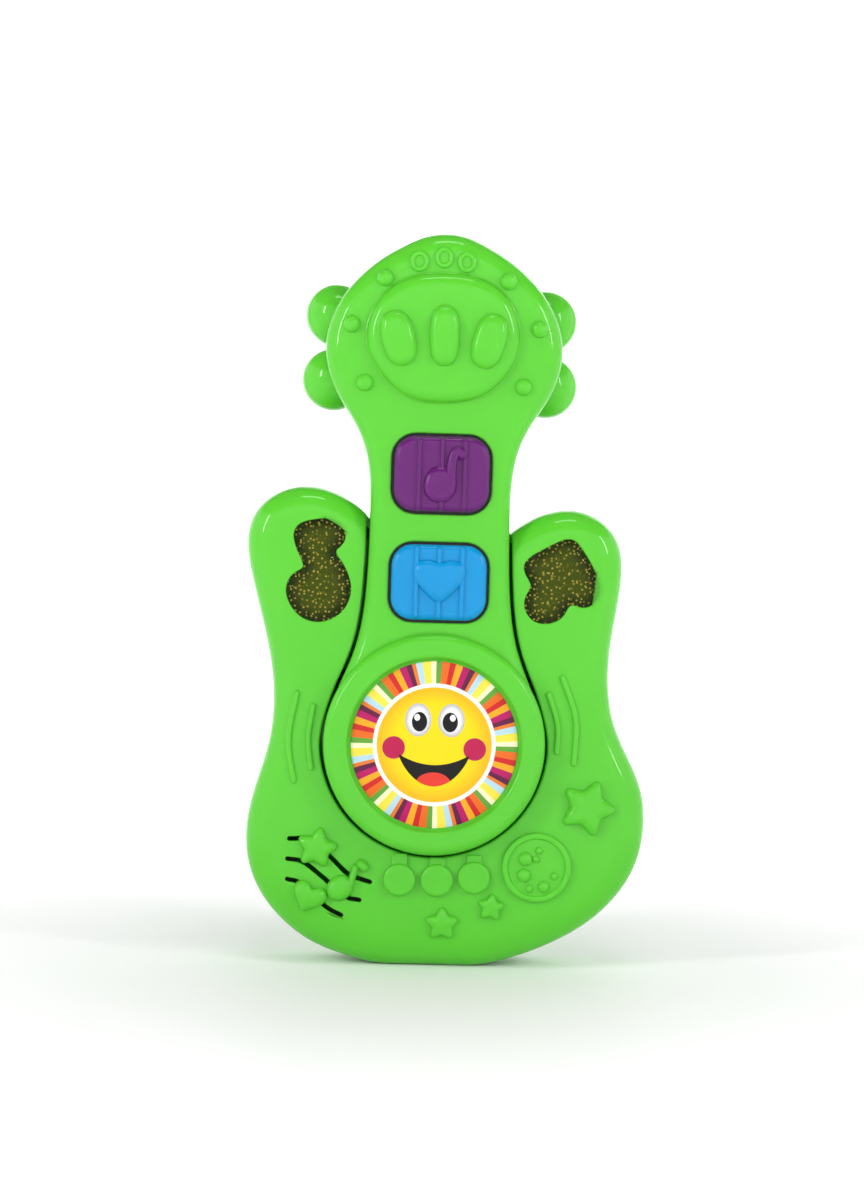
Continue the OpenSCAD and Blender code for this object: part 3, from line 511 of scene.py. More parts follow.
def moulded(name, rgb, roughness=0.2, grain=0.00003, coat=0.4, soft=0.0, root=None):
    """Glossy moulded plastic: slow drift in colour and polish, a faint skin texture and handling haze. root
    gives two depths in metres between which the colour falls to near black: painted shade that stands in for
    the dark of a gap."""
    material, tree, shader, add = nodes_of(name)
    link = tree.links.new
    at = add("ShaderNodeTexCoord")
    drift = add("ShaderNodeTexNoise", Scale=22.0, Detail=3.0, Roughness=0.5)
    speck = add("ShaderNodeTexNoise", Scale=900.0, Detail=2.0)
    wave = add("ShaderNodeTexNoise", Scale=45.0, Detail=1.0)
    for texture in (drift, speck, wave):
        link(at.outputs["Object"], texture.inputs["Vector"])
    mix = add("ShaderNodeMix", data_type="RGBA")
    mix.inputs[6].default_value = (*[c * 0.94 for c in rgb], 1)
    mix.inputs[7].default_value = (*[min(1.0, c * 1.06) for c in rgb], 1)
    link(drift.outputs["Fac"], mix.inputs[0])
    # painted shade: deeper than root's first depth the colour darkens to near black, as the shade in the gap
    # round a part would be
    if root:
        split, fall = add("ShaderNodeSeparateXYZ"), add("ShaderNodeMapRange")
        fall.inputs["From Min"].default_value, fall.inputs["From Max"].default_value = root
        link(at.outputs["Object"], split.inputs["Vector"])
        link(split.outputs["Y"], fall.inputs["Value"])
        gap_shade = add("ShaderNodeMix", data_type="RGBA")
        gap_shade.inputs[7].default_value = (0.003, 0.003, 0.004, 1)
        link(fall.outputs["Result"], gap_shade.inputs[0])
        link(mix.outputs[2], gap_shade.inputs[6])
        mix = gap_shade
    link(mix.outputs[2], shader.inputs["Base Color"])
    polish = add("ShaderNodeMapRange")
    polish.inputs["To Min"].default_value = roughness * 0.8
    polish.inputs["To Max"].default_value = roughness * 1.25
    link(speck.outputs["Fac"], polish.inputs["Value"])
    link(polish.outputs["Result"], shader.inputs["Roughness"])
    fine = add("ShaderNodeBump", Strength=0.12, Distance=grain)
    broad = add("ShaderNodeBump", Strength=0.25, Distance=0.0002)
    link(speck.outputs["Fac"], fine.inputs["Height"])
    link(wave.outputs["Fac"], broad.inputs["Height"])
    link(broad.outputs["Normal"], fine.inputs["Normal"])
    link(fine.outputs["Normal"], shader.inputs["Normal"])
    shader.inputs["Specular IOR Level"].default_value = 0.08
    shader.inputs["Coat Weight"].default_value = coat
    shader.inputs["Coat Roughness"].default_value = 0.05
    if soft:
        shader.inputs["Subsurface Weight"].default_value = soft
        shader.inputs["Subsurface Radius"].default_value = (0.4, 1.0, 0.3)
        shader.inputs["Subsurface Scale"].default_value = 0.004
    return material


def metal(name, rgb, roughness=0.3, stretch=(1, 1, 12)):
    """Plated steel: fine brushed lines drawn out along one axis, with dull patches."""
    material, tree, shader, add = nodes_of(name)
    link = tree.links.new
    at, turn = add("ShaderNodeTexCoord"), add("ShaderNodeMapping")
    turn.inputs["Scale"].default_value = stretch
    lines = add("ShaderNodeTexNoise", Scale=350.0, Detail=4.0)
    patch = add("ShaderNodeTexNoise", Scale=60.0, Detail=2.0)
    link(at.outputs["Object"], turn.inputs["Vector"])
    link(turn.outputs["Vector"], lines.inputs["Vector"])
    link(at.outputs["Object"], patch.inputs["Vector"])
    spread = add("ShaderNodeMapRange")
    spread.inputs["To Min"].default_value = roughness * 0.7
    spread.inputs["To Max"].default_value = roughness * 1.5
    link(patch.outputs["Fac"], spread.inputs["Value"])
    link(spread.outputs["Result"], shader.inputs["Roughness"])
    mix = add("ShaderNodeMix", data_type="RGBA")
    mix.inputs[6].default_value = (*[c * 0.8 for c in rgb], 1)
    mix.inputs[7].default_value = (*rgb, 1)
    link(patch.outputs["Fac"], mix.inputs[0])
    link(mix.outputs[2], shader.inputs["Base Color"])
    bump = add("ShaderNodeBump", Strength=0.2, Distance=0.00003)
    link(lines.outputs["Fac"], bump.inputs["Height"])
    link(bump.outputs["Normal"], shader.inputs["Normal"])
    shader.inputs["Metallic"].default_value = 1.0
    return material


def banded(name, steps, axis=0, roughness=0.3, metallic=0.0):
    """Colour by place along one axis: steps are (place in metres, rgb), each holding from its place on."""
    material, tree, shader, add = nodes_of(name)
    link = tree.links.new
    at, split = add("ShaderNodeTexCoord"), add("ShaderNodeSeparateXYZ")
    link(at.outputs["Object"], split.inputs["Vector"])
    low, high = steps[0][0], steps[-1][0] + 0.001
    place_on = add("ShaderNodeMapRange")
    place_on.inputs["From Min"].default_value = low
    place_on.inputs["From Max"].default_value = high
    link(split.outputs[axis], place_on.inputs["Value"])
    ramp = add("ShaderNodeValToRGB")
    ramp.color_ramp.interpolation = "CONSTANT"
    while len(ramp.color_ramp.elements) < len(steps):
        ramp.color_ramp.elements.new(0.5)
    for stop, (where, rgb) in zip(ramp.color_ramp.elements, steps):
        stop.position = (where - low) / (high - low)
        stop.color = (*rgb, 1)
    link(place_on.outputs["Result"], ramp.inputs["Fac"])
    link(ramp.outputs["Color"], shader.inputs["Base Color"])
    scuff = add("ShaderNodeTexNoise", Scale=300.0, Detail=3.0)
    link(at.outputs["Object"], scuff.inputs["Vector"])
    spread = add("ShaderNodeMapRange")
    spread.inputs["To Min"].default_value = roughness * 0.7
    spread.inputs["To Max"].default_value = roughness * 1.4
    link(scuff.outputs["Fac"], spread.inputs["Value"])
    link(spread.outputs["Result"], shader.inputs["Roughness"])
    shader.inputs["Metallic"].default_value = metallic
    return material


def smoky(name, rgb):
    """Tinted clear plastic: glossy, half see-through, with faint flow lines in the moulding."""
    material, tree, shader, add = nodes_of(name)
    link = tree.links.new
    at = add("ShaderNodeTexCoord")
    flow = add("ShaderNodeTexNoise", Scale=120.0, Detail=2.0)
    link(at.outputs["Object"], flow.inputs["Vector"])
    tint = add("ShaderNodeMix", data_type="RGBA")
    tint.inputs[6].default_value = (*[c * 0.7 for c in rgb], 1)
    tint.inputs[7].default_value = (*[c * 1.3 for c in rgb], 1)
    link(flow.outputs["Fac"], tint.inputs[0])
    link(tint.outputs[2], shader.inputs["Base Color"])
    shader.inputs["Roughness"].default_value = 0.05
    shader.inputs["Specular IOR Level"].default_value = 0.08
    shader.inputs["Coat Weight"].default_value = 0.45
    shader.inputs["Coat Roughness"].default_value = 0.03
    shader.inputs["Alpha"].default_value = 0.22
    return material


def glittered(name, rgb, flake):
    """Olive sheet with gold flakes: each Voronoi cell holds one flake with its own brightness, and the sheet
    is darker towards its rim, as painted shade along the window's edge, whose distance lies on the mesh."""
    material, tree, shader, add = nodes_of(name)
    link = tree.links.new
    at, turn = add("ShaderNodeTexCoord"), add("ShaderNodeMapping")
    turn.inputs["Rotation"].default_value = (math.pi / 2, 0, 0)
    cells = add("ShaderNodeTexVoronoi", voronoi_dimensions="2D", Scale=0.5 / flake, Randomness=1.0)
    link(at.outputs["Object"], turn.inputs["Vector"])
    link(turn.outputs["Vector"], cells.inputs["Vector"])
    split = add("ShaderNodeSeparateColor")
    link(cells.outputs["Color"], split.inputs["Color"])
    chosen = add("ShaderNodeMapRange")
    chosen.inputs["From Min"].default_value = 0.2
    chosen.inputs["From Max"].default_value = 0.7
    link(split.outputs["Red"], chosen.inputs["Value"])
    spot = add("ShaderNodeMapRange")
    spot.inputs["From Min"].default_value = 0.14
    spot.inputs["From Max"].default_value = 0.28
    spot.inputs["To Min"].default_value = 1.0
    spot.inputs["To Max"].default_value = 0.0
    link(cells.outputs["Distance"], spot.inputs["Value"])
    flakes = add("ShaderNodeMath", operation="MULTIPLY")
    link(chosen.outputs["Result"], flakes.inputs[0])
    link(spot.outputs["Result"], flakes.inputs[1])
    # painted shade: the olive sheet falls to near black towards the rim, where the shell's edge would shade
    # the window
    rim = add("ShaderNodeAttribute", attribute_name="rim")
    olive_and_rim_shade = add("ShaderNodeMix", data_type="RGBA")
    olive_and_rim_shade.inputs[6].default_value = (0.006, 0.016, 0.001, 1)
    olive_and_rim_shade.inputs[7].default_value = (0.085, 0.115, 0.002, 1)
    link(rim.outputs["Fac"], olive_and_rim_shade.inputs[0])
    shade = add("ShaderNodeMix", data_type="RGBA")
    shade.inputs[7].default_value = (*rgb, 1)
    link(flakes.outputs[0], shade.inputs[0])
    link(olive_and_rim_shade.outputs[2], shade.inputs[6])
    link(shade.outputs[2], shader.inputs["Base Color"])
    shader.inputs["Roughness"].default_value = 0.4
    shader.inputs["Specular IOR Level"].default_value = 0.05
    return material


def printed(name):
    """Glossy printed vinyl: its colours lie on the mesh, one for each printed area."""
    material, tree, shader, add = nodes_of(name)
    ink = add("ShaderNodeAttribute", attribute_name="ink")
    tree.links.new(ink.outputs["Color"], shader.inputs["Base Color"])
    at, haze = add("ShaderNodeTexCoord"), add("ShaderNodeTexNoise", Scale=150.0, Detail=3.0)
    tree.links.new(at.outputs["Object"], haze.inputs["Vector"])
    spread = add("ShaderNodeMapRange")
    spread.inputs["To Min"].default_value = 0.16
    spread.inputs["To Max"].default_value = 0.3
    tree.links.new(haze.outputs["Fac"], spread.inputs["Value"])
    tree.links.new(spread.outputs["Result"], shader.inputs["Roughness"])
    shader.inputs["Specular IOR Level"].default_value = 0.08
    shader.inputs["Coat Weight"].default_value = 0.3
    return material


def etched_board(name, rgb):
    """Circuit board: solder mask over copper tracks, which show as a lighter brick-like net."""
    material, tree, shader, add = nodes_of(name)
    link = tree.links.new
    at, turn = add("ShaderNodeTexCoord"), add("ShaderNodeMapping")
    turn.inputs["Rotation"].default_value = (math.pi / 2, 0, 0)
    tracks = add("ShaderNodeTexBrick", Scale=160.0)
    tracks.inputs["Mortar Size"].default_value = 0.06
    tracks.inputs["Color1"].default_value = (*rgb, 1)
    tracks.inputs["Color2"].default_value = (*[c * 0.8 for c in rgb], 1)
    tracks.inputs["Mortar"].default_value = (*[c * 2.2 for c in rgb], 1)
    link(at.outputs["Object"], turn.inputs["Vector"])
    link(turn.outputs["Vector"], tracks.inputs["Vector"])
    link(tracks.outputs["Color"], shader.inputs["Base Color"])
    bump = add("ShaderNodeBump", Strength=0.3, Distance=0.0001)
    link(tracks.outputs["Fac"], bump.inputs["Height"])
    link(bump.outputs["Normal"], shader.inputs["Normal"])
    shader.inputs["Roughness"].default_value = 0.35
    return material


# ---- front of the body ------------------------------------------------------

def body_loop():
    """The body's outline, cut level at the foot and softened after the cut."""
    points = closed_curve(BODY, 4096, 0.6)
    points[:, 1] = np.maximum(points[:, 1], 0)
    return even(softened(points, 1.6), 4096)


def neck_loop():
    """Outline of the neck panel: the under side of the ring, then up one side of the neck and head and down
    the other, which mirrors it."""
    a = np.radians(np.arange(-180, 1, 15))
    ring = np.stack([RING_AT[0] + RING_R * np.cos(a), RING_AT[1] + RING_R * np.sin(a)], -1)
    side = np.array(NECK_SIDE, float)
    return closed_curve(np.vstack([ring, side, [[0, 240]], side[::-1] * [-1, 1]]), 4096, 1.0)


class BodyFace:
    """The body's front surface: flat, and falling off in a rounded band along the outline. At t of the
    band's width from the flat, it has dropped depth (1 - sqrt(1 - t^2))."""

    def __init__(self, sizes):
        self.loop = body_loop()
        self.coarse = even(self.loop, 900)
        self.side, self.foot = sizes.side_band * 1000, sizes.foot_band * 1000
        self.depth = sizes.edge_depth * 1000

    def width(self, z):
        """Width of the band at a height: it grows smoothly towards the foot."""
        return self.side + self.foot * smooth((24 - z) / 24)

    def height(self, points):
        """Depth of the surface at points in plan, from their distance to the outline."""
        gap, at = nearest(points, self.coarse)
        t = np.clip(1 - gap / self.width(self.coarse[at, 1]), 0, 1)
        return FACE + self.depth * (1 - np.sqrt(1 - t ** 2))


def u_skin(form, face, edge, thin, flat_y, lip, holes, across=520, run=240):
    """The body's front round the neck recess: a rounded band and flat between the outline and the recess
    edge, a small lip along the recess, and walls down to the seam. thin moves the outline inward for the
    inner skin. Returns the closed line where the walls end."""
    a = quarter(11)
    widths = face.width(face.loop[:, 1]) - thin
    depth = face.depth + flat_y - FACE if thin == 0 else -8.0 - flat_y
    rings, depths = [], []
    for b in a:
        rings.append(outer_run(inset(face.loop, thin + widths * (1 - math.cos(b))), edge))
        depths.append(flat_y + depth * (1 - math.sin(b)))
    rings.append(outer_run(inset(face.loop, thin + widths + 0.4), edge))
    depths.append(flat_y)
    rings = np.stack([even(ring, across, closed=False) for ring in rings])
    fall = np.array([1.0, 0.66, 0.33, 0.0])
    walls = [lift(rings[0], depths[0] + (FRONT_END - depths[0]) * f) for f in fall[:-1]]
    form.grid(np.stack(walls + [lift(ring, y) for ring, y in zip(rings, depths)]))

    # the recess edge, from the left side of the outline round under the ring to the right side
    flat = inside(edge, np.vstack([rings[-1], [[0, 300]]]))
    start = np.flatnonzero(flat & ~np.roll(flat, 1))
    lengths = [np.argmin(np.roll(flat, -s)) for s in start]
    best = int(np.argmax(lengths))
    stretch = np.roll(edge, -start[best], 0)[: lengths[best]]
    stretch = even(np.vstack([rings[-1][0], stretch[3:-3], rings[-1][-1]]), run, closed=False)
    path = np.vstack([rings[:-1, 0], stretch, rings[-2::-1, -1]])
    level = np.concatenate([depths[:-1], np.full(run, flat_y), depths[-2::-1]])
    normal = inward(edge)[nearest(path, edge[::4])[1] * 4]
    rows, heights = [path], [level]
    if lip:
        for b in quarter(5):
            rows.append(kept_within(path + (0.3 + lip * math.sin(b)) * normal, face.loop))
            heights.append(face.height(rows[-1]) + lip * (1 - math.cos(b)))
    skin = [lift(p, y) for p, y in zip(rows, heights)]
    skin += [lift(rows[-1], heights[-1] + (FRONT_END - heights[-1]) * f) for f in fall[::-1][1:]]
    form.grid(np.stack(skin))
    for end in (0, -1):
        tops = np.stack([lift(p, y)[end] for p, y in zip(rows, heights)])
        ends = tops[None] + (fall[::-1, None] * (FRONT_END - tops[:, 1]))[..., None] * [0, 1, 0]
        form.grid(ends)
    form.fill([np.vstack([rings[-1], stretch[-2:0:-1]])] + holes, flat_y)
    corners = [np.stack([p[end] for p in rows]) for end in (0, -1)]
    return np.vstack([rings[0], corners[1][1:], rows[-1][-2:0:-1], corners[0][:0:-1]])


def make_body_front(sizes, colours):
    """Outer and inner skin round the openings, then the raised shapes, each standing on the outer skin."""
    face = BodyFace(sizes)
    neck = neck_loop()
    gap, lip = sizes.panel_gap * 1000, sizes.recess_lip * 1000
    form = Form()
    openings = [(closed_curve(p, 200, 0.5), 0.35) for p in (turned_left(LENS_LEFT), turned_left(LENS_RIGHT))]
    openings = [(inset(loop, -0.15), r) for loop, r in openings]
    openings += [(stadium(open_curve(p, 60), 0.75), 0.3) for p in SLOTS]
    stops = [form.mouth(loop, FACE, 1, r, FACE + WALL) for loop, r in openings]
    edge = inset(even(neck, 3600), -(gap + lip + 0.3))
    outer = u_skin(form, face, edge, 0.0, FACE, lip, stops)
    edge_within = inset(even(neck, 3600), -(gap + 1.8))
    bare = [loop for loop, _ in openings]
    inner = u_skin(form, face, edge_within, WALL, FACE + WALL, 0.0, bare, 260, 140)
    form.fill([outer, inner], FRONT_END)

    flat = face.height
    for route in RIBS:
        form.ridge(open_curve(route, 90), 1.0, flat, sizes.rib_rise * 1000, flatness=2.4)
    big, small = sizes.badge_rise * 1000, sizes.small_badge_rise * 1000
    form.pillow(star((51, 53.7), 9.4, 69, 0.15, 0.46), flat, big, 5.0, 1.9, rings=22)
    form.pillow(star((4.3, 14.5), 5.6, 90), flat, small, 5.0, 1.8)
    form.pillow(star((20.2, 20.3), 4.6, 84), flat, small, 5.0, 1.8)
    # star, note and heart over the speaker slots
    form.pillow(star((-37.2, 38.5), 6.8, 80), flat, 2.8, 5.0, 1.8, sink=1.6)
    form.pillow(oval((-29.4, 25.6), 4.7, 4.0, 35), flat, 2.8, 3.6, 2.0, sink=1.6)
    form.ridge(open_curve([(-26.4, 25.8), (-25.2, 30), (-24.2, 33.6)], 50), 1.25, flat, 2.4, sink=1.6)
    form.ridge(open_curve([(-24.4, 33.8), (-22.2, 33.2), (-20.8, 31.2)], 40), 1.7, flat, 2.5, sink=1.6)
    form.pillow(heart((-39.8, 21.8), 6.1, -24, 1.5), flat, 2.8, 3.6, 1.9, sink=1.6)

    # round disc with its raised rim and seven pips
    disc_at, pip_base = (34.7, 33.8), FACE - 1.0
    rim = [(11.4, FACE + 0.6), (11.4, FACE - 0.9)]
    rim += [(10.6 + 0.8 * math.cos(b), FACE - 0.9 - 0.8 * math.sin(b)) for b in quarter(6)]
    rim += [(9.9 - 0.5 * math.sin(b), FACE - 1.2 - 0.5 * math.cos(b)) for b in quarter(5)]
    rim += [(9.2, pip_base), (0.0, pip_base), (0.0, FACE + 0.6), (11.4, FACE + 0.6)]
    form.turned(disc_at, rim, 96)
    for x, z, r in [(31, 36.6, 2.3), (30.7, 31.2, 2.3), (37.2, 27.6, 1.9), (35.4, 39.4, 1.25),
                    (34.5, 36.6, 1.25), (40.6, 31.1, 1.25), (32.6, 26.9, 1.25)]:
        form.pillow(circle((x, z), r, 32), level(pip_base), 0.75 * r, 2.0, 2.0, 0.3, 10)
    # three round tabs joined to the recess by short stems
    for x, z in [(-10.1, 28.8), (2.2, 28.9), (14.3, 30)]:
        form.turned((x, z), disc_profile(5.3, 1.9, 0.9), 72)
        top = 36.4 if abs(x) < 6 else 37.4
        stem = round_rect(x - 2.6, x + 2.6, z + 2, top, 0.6)
        form.stack(stem, [(0, FACE + 0.5), (0, FACE - 0.5)] + edge_rows(FACE - 1.0, 0.5, 1),
                   caps=(True, True))
    for at in BODY_SCREWS:
        pilot_post(form, at, -13.9)
    form.piece("body_front", green_plastic(colours), "shell", ["body_front_shell"], "green_body_front")


def pilot_post(form, at, root):
    """Round post with the pilot hole of a casing screw, from its root in the front's skin to near the
    seam. The profile closes on itself part way down the hole."""
    bore, outer, top, join = 1.32, 3.4, -1.7, -9.5
    form.turned(at, [(bore, join), (bore, top), (outer, top), (outer, root), (bore, root), (bore, join)], 32)


def heart(at, r, turn, soften=0.3):
    """x = 16 sin^3 t, z = 13 cos t - 5 cos 2t - 2 cos 3t - cos 4t, scaled and turned, with its tips
    softened."""
    t = np.linspace(0, 2 * np.pi, 400, endpoint=False)
    x = 16 * np.sin(t) ** 3 * r / 16
    z = (13 * np.cos(t) - 5 * np.cos(2 * t) - 2 * np.cos(3 * t) - np.cos(4 * t) + 2.5) * r / 16
    loop = placed(x, z, at, turn)
    return closed_curve(even(turned_left(loop), 26), 160, soften)


def disc_profile(r, rise, edge, base=FACE):
    """Flat disc with a round edge, as radius and depth, closed under the surface that it stands on."""
    profile = [(0.0, base + 0.5), (r, base + 0.5)]
    profile += [(r - edge + edge * math.cos(b), base - rise + edge - edge * math.sin(b)) for b in quarter(7)]
    return profile + [(r - edge - 0.3, base - rise), (0.0, base - rise)]


def edge_rows(top, r, deeper, count=7, wide=None):
    """Rows of inset and depth over an edge that ends flat at top, with a narrow flat row after it. The
    section is a quarter circle of radius r, or a quarter ellipse wide in plan and r deep."""
    wide = wide or r
    rows = [(wide * (1 - math.cos(b)), top + deeper * r * (1 - math.sin(b))) for b in quarter(count)]
    return rows + [(wide + 0.3, top)]


def level(y):
    """A flat surface at one depth, for raised shapes to stand on."""
    return lambda points: np.full(len(points), y)


def green_plastic(colours):
    """The casing's plastic, made once."""
    found = bpy.data.materials.get("green_plastic")
    return found or moulded("green_plastic", colours.shell, 0.2, soft=0.12)


# ---- neck and head ----------------------------------------------------------

def make_neck_front(sizes, colours):
    """Neck and head with a rounded edge, the ring turned about its middle, then the boss, studs and balls."""
    loop = even(neck_loop(), 640)
    form = Form()
    # under the ring the block stands back, so that the ring's own wall shows
    from_ring = np.linalg.norm(loop - RING_AT, axis=1)
    back = 1.6 * smooth((88 - loop[:, 1]) / 8) * smooth((RING_R + 1.2 - from_ring) / 1.2)
    loop = even(inset(loop, back), 640)
    band = np.interp(loop[:, 1], [0, 176, 192, 240],
                     [sizes.neck_edge * 1000] * 2 + [sizes.head_edge * 1000] * 2)
    depth = np.minimum(band, 6.2)
    rows = [lift(inset(loop, 0.25), FRONT_END), lift(loop, FRONT_END - 0.25), lift(loop, -7.0)]
    rows += [lift(inset(loop, band * (1 - math.cos(b))), NECK_FACE + depth * (1 - math.sin(b)))
             for b in quarter(13)]
    stop = inset(loop, band + 0.35)
    rows.append(lift(stop, NECK_FACE))
    form.grid(np.stack(rows), around=True)
    holes = [round_rect(x - 16.4, x + 16.4, z - 13.15, z + 13.15, 7.9) for x, z in KEYS.values()]
    stops = [form.mouth(hole, NECK_FACE, 1, 0.6, NECK_FACE + WALL) for hole in holes]
    form.fill([stop] + stops, NECK_FACE)
    rows = [lift(inset(loop, WALL), FRONT_END), lift(inset(loop, WALL), -9.0)]
    rows += [lift(inset(loop, WALL + np.maximum(band - WALL, 0.5) * (1 - math.cos(b))),
                  NECK_FACE + WALL + 4.0 * (1 - math.sin(b))) for b in quarter(5)]
    form.grid(np.stack(rows), around=True)
    form.fill([rows[-1][:, [0, 2]]] + holes, NECK_FACE + WALL)
    form.fill([inset(loop, 0.25), inset(loop, WALL)], FRONT_END)

    # ring: outer wall, rounded edge, broad crest, small inner lip and the floor under the label
    crest = NECK_FACE - sizes.ring_rise * 1000
    edge = sizes.ring_edge * 1000
    profile = [(0.0, -12.0), (RING_R - 0.3, -12.0), (RING_R, -12.3), (RING_R, crest + edge + 0.6)]
    profile += [(RING_R - edge + edge * math.cos(b), crest + (edge + 0.6) * (1 - math.sin(b)))
                for b in quarter(12)]
    profile += [(RING_R - edge - 0.4, crest), (29.9, crest)]
    profile += [(29.5 - 1.2 * math.sin(b), crest + 1.2 * (1 - math.cos(b))) for b in quarter(7)]
    profile += [(28.0, LABEL_FACE - 0.5), (27.5, LABEL_FACE), (27.1, LABEL_FACE), (0.0, LABEL_FACE)]
    form.turned(RING_AT, profile, 240)
    # soft foot where the ring crosses the neck's face, from side to side of the neck
    a = np.radians(np.linspace(36, 144, 90))
    reach = 1.1 * smooth(np.minimum(a - a[0], a[-1] - a) / 0.25)
    rows = [np.stack([RING_AT[0] + (RING_R - 0.25 + reach * s) * np.cos(a), np.full(len(a), NECK_FACE + y),
                      RING_AT[1] + (RING_R - 0.25 + reach * s) * np.sin(a)], -1)
            for s, y in [(0, 0.4), (0, -1.0), (0.1, -0.5), (0.3, -0.2), (0.65, -0.04), (1.1, 0.05),
                         (1.1, 0.4), (0, 0.4)]]
    form.grid(np.stack(rows))

    # raised boss of the head with three long studs
    boss = closed_curve(turned_left(BOSS), 260, 1.5)
    foot = [(-0.2, 0.5), (-1.0, 0.1), (-0.55, -0.05), (-0.2, -0.2), (0.0, -0.5)]
    rows = [(d, NECK_FACE + y) for d, y in foot] + edge_rows(BOSS_FACE, 3.1, 1, 12, 4.8)[1:]
    form.stack(boss, rows, caps=(True, True))
    for x, z, turn, half_w, half_h in [(-15.3, 205, 15, 5.5, 9.1), (-0.4, 206.2, 0, 5.0, 9.9),
                                       (14.1, 204.9, -15, 5.4, 9.1)]:
        stud = oval((x, z), half_w, half_h, turn, 2.5, 120)
        form.pillow(stud, level(BOSS_FACE), 3.0, 4.6, 1.7, rings=20)
    for x, z in [(20, 224.6), (30.5, 209.4), (25.8, 190.5)]:
        for s in (-1, 1):
            form.pillow(circle((s * x, z), 2.8, 48), level(NECK_FACE), 2.3, 2.2, 2.0, rings=12)
    for x, z in [(-9.1, 230.3), (-1.1, 231.7), (6.3, 230.4)]:
        rim = [(0, 1.5), (0, -0.5), (0.25, -0.85), (0.7, -1.0), (1.1, -0.95), (1.45, -0.7), (1.6, -0.3)]
        form.stack(oval((x, z), 3.1, 3.4, 0, 2.0, 64), [(d, NECK_FACE + y) for d, y in rim],
                   caps=(True, True))
    for x, z in BALLS:
        form.turned((x, z), [(0.0, FRONT_END)] + ball_profile(FRONT_END, -1), 72)
    for at in PANEL_SCREWS + NECK_SCREWS:
        pilot_post(form, at, -17.9)
    form.piece("neck_and_head_front", green_plastic(colours), "shell", ["neck_front_panel"],
               "green_neck_panel")


def ball_profile(cut, side, r=10.3, middle=3.0, count=26):
    """Radius and depth over a ball from the plane at depth cut to its pole, on the side -1 or 1, with a small
    chamfer at the cut."""
    first = math.acos(np.clip((cut - middle) / r * side, -1, 1))
    w = np.linspace(first, 0, count)
    radius, depth = r * np.sin(w), middle + side * r * np.cos(w)
    start = (radius[0] - 0.3, cut)
    radius[-1] = 0.0
    return [start, (radius[0], cut + side * 0.3)] + list(zip(radius[1:], depth[1:]))


# ---- back of the toy --------------------------------------------------------

def screw_post(form, at, face, seat, inner):
    """Counterbore, clearance hole and post of one screw, from the back face to the inner skin. Returns the
    loops that the outer and the inner flat stop at."""
    stop = form.mouth(circle(at, 2.9), face, -1, 0.3, seat)
    form.turned(at, [(2.9, seat), (1.55, seat), (1.55, BACK_END), (4.2, BACK_END), (4.2, inner)], 48)
    return stop, circle(at, 4.2)


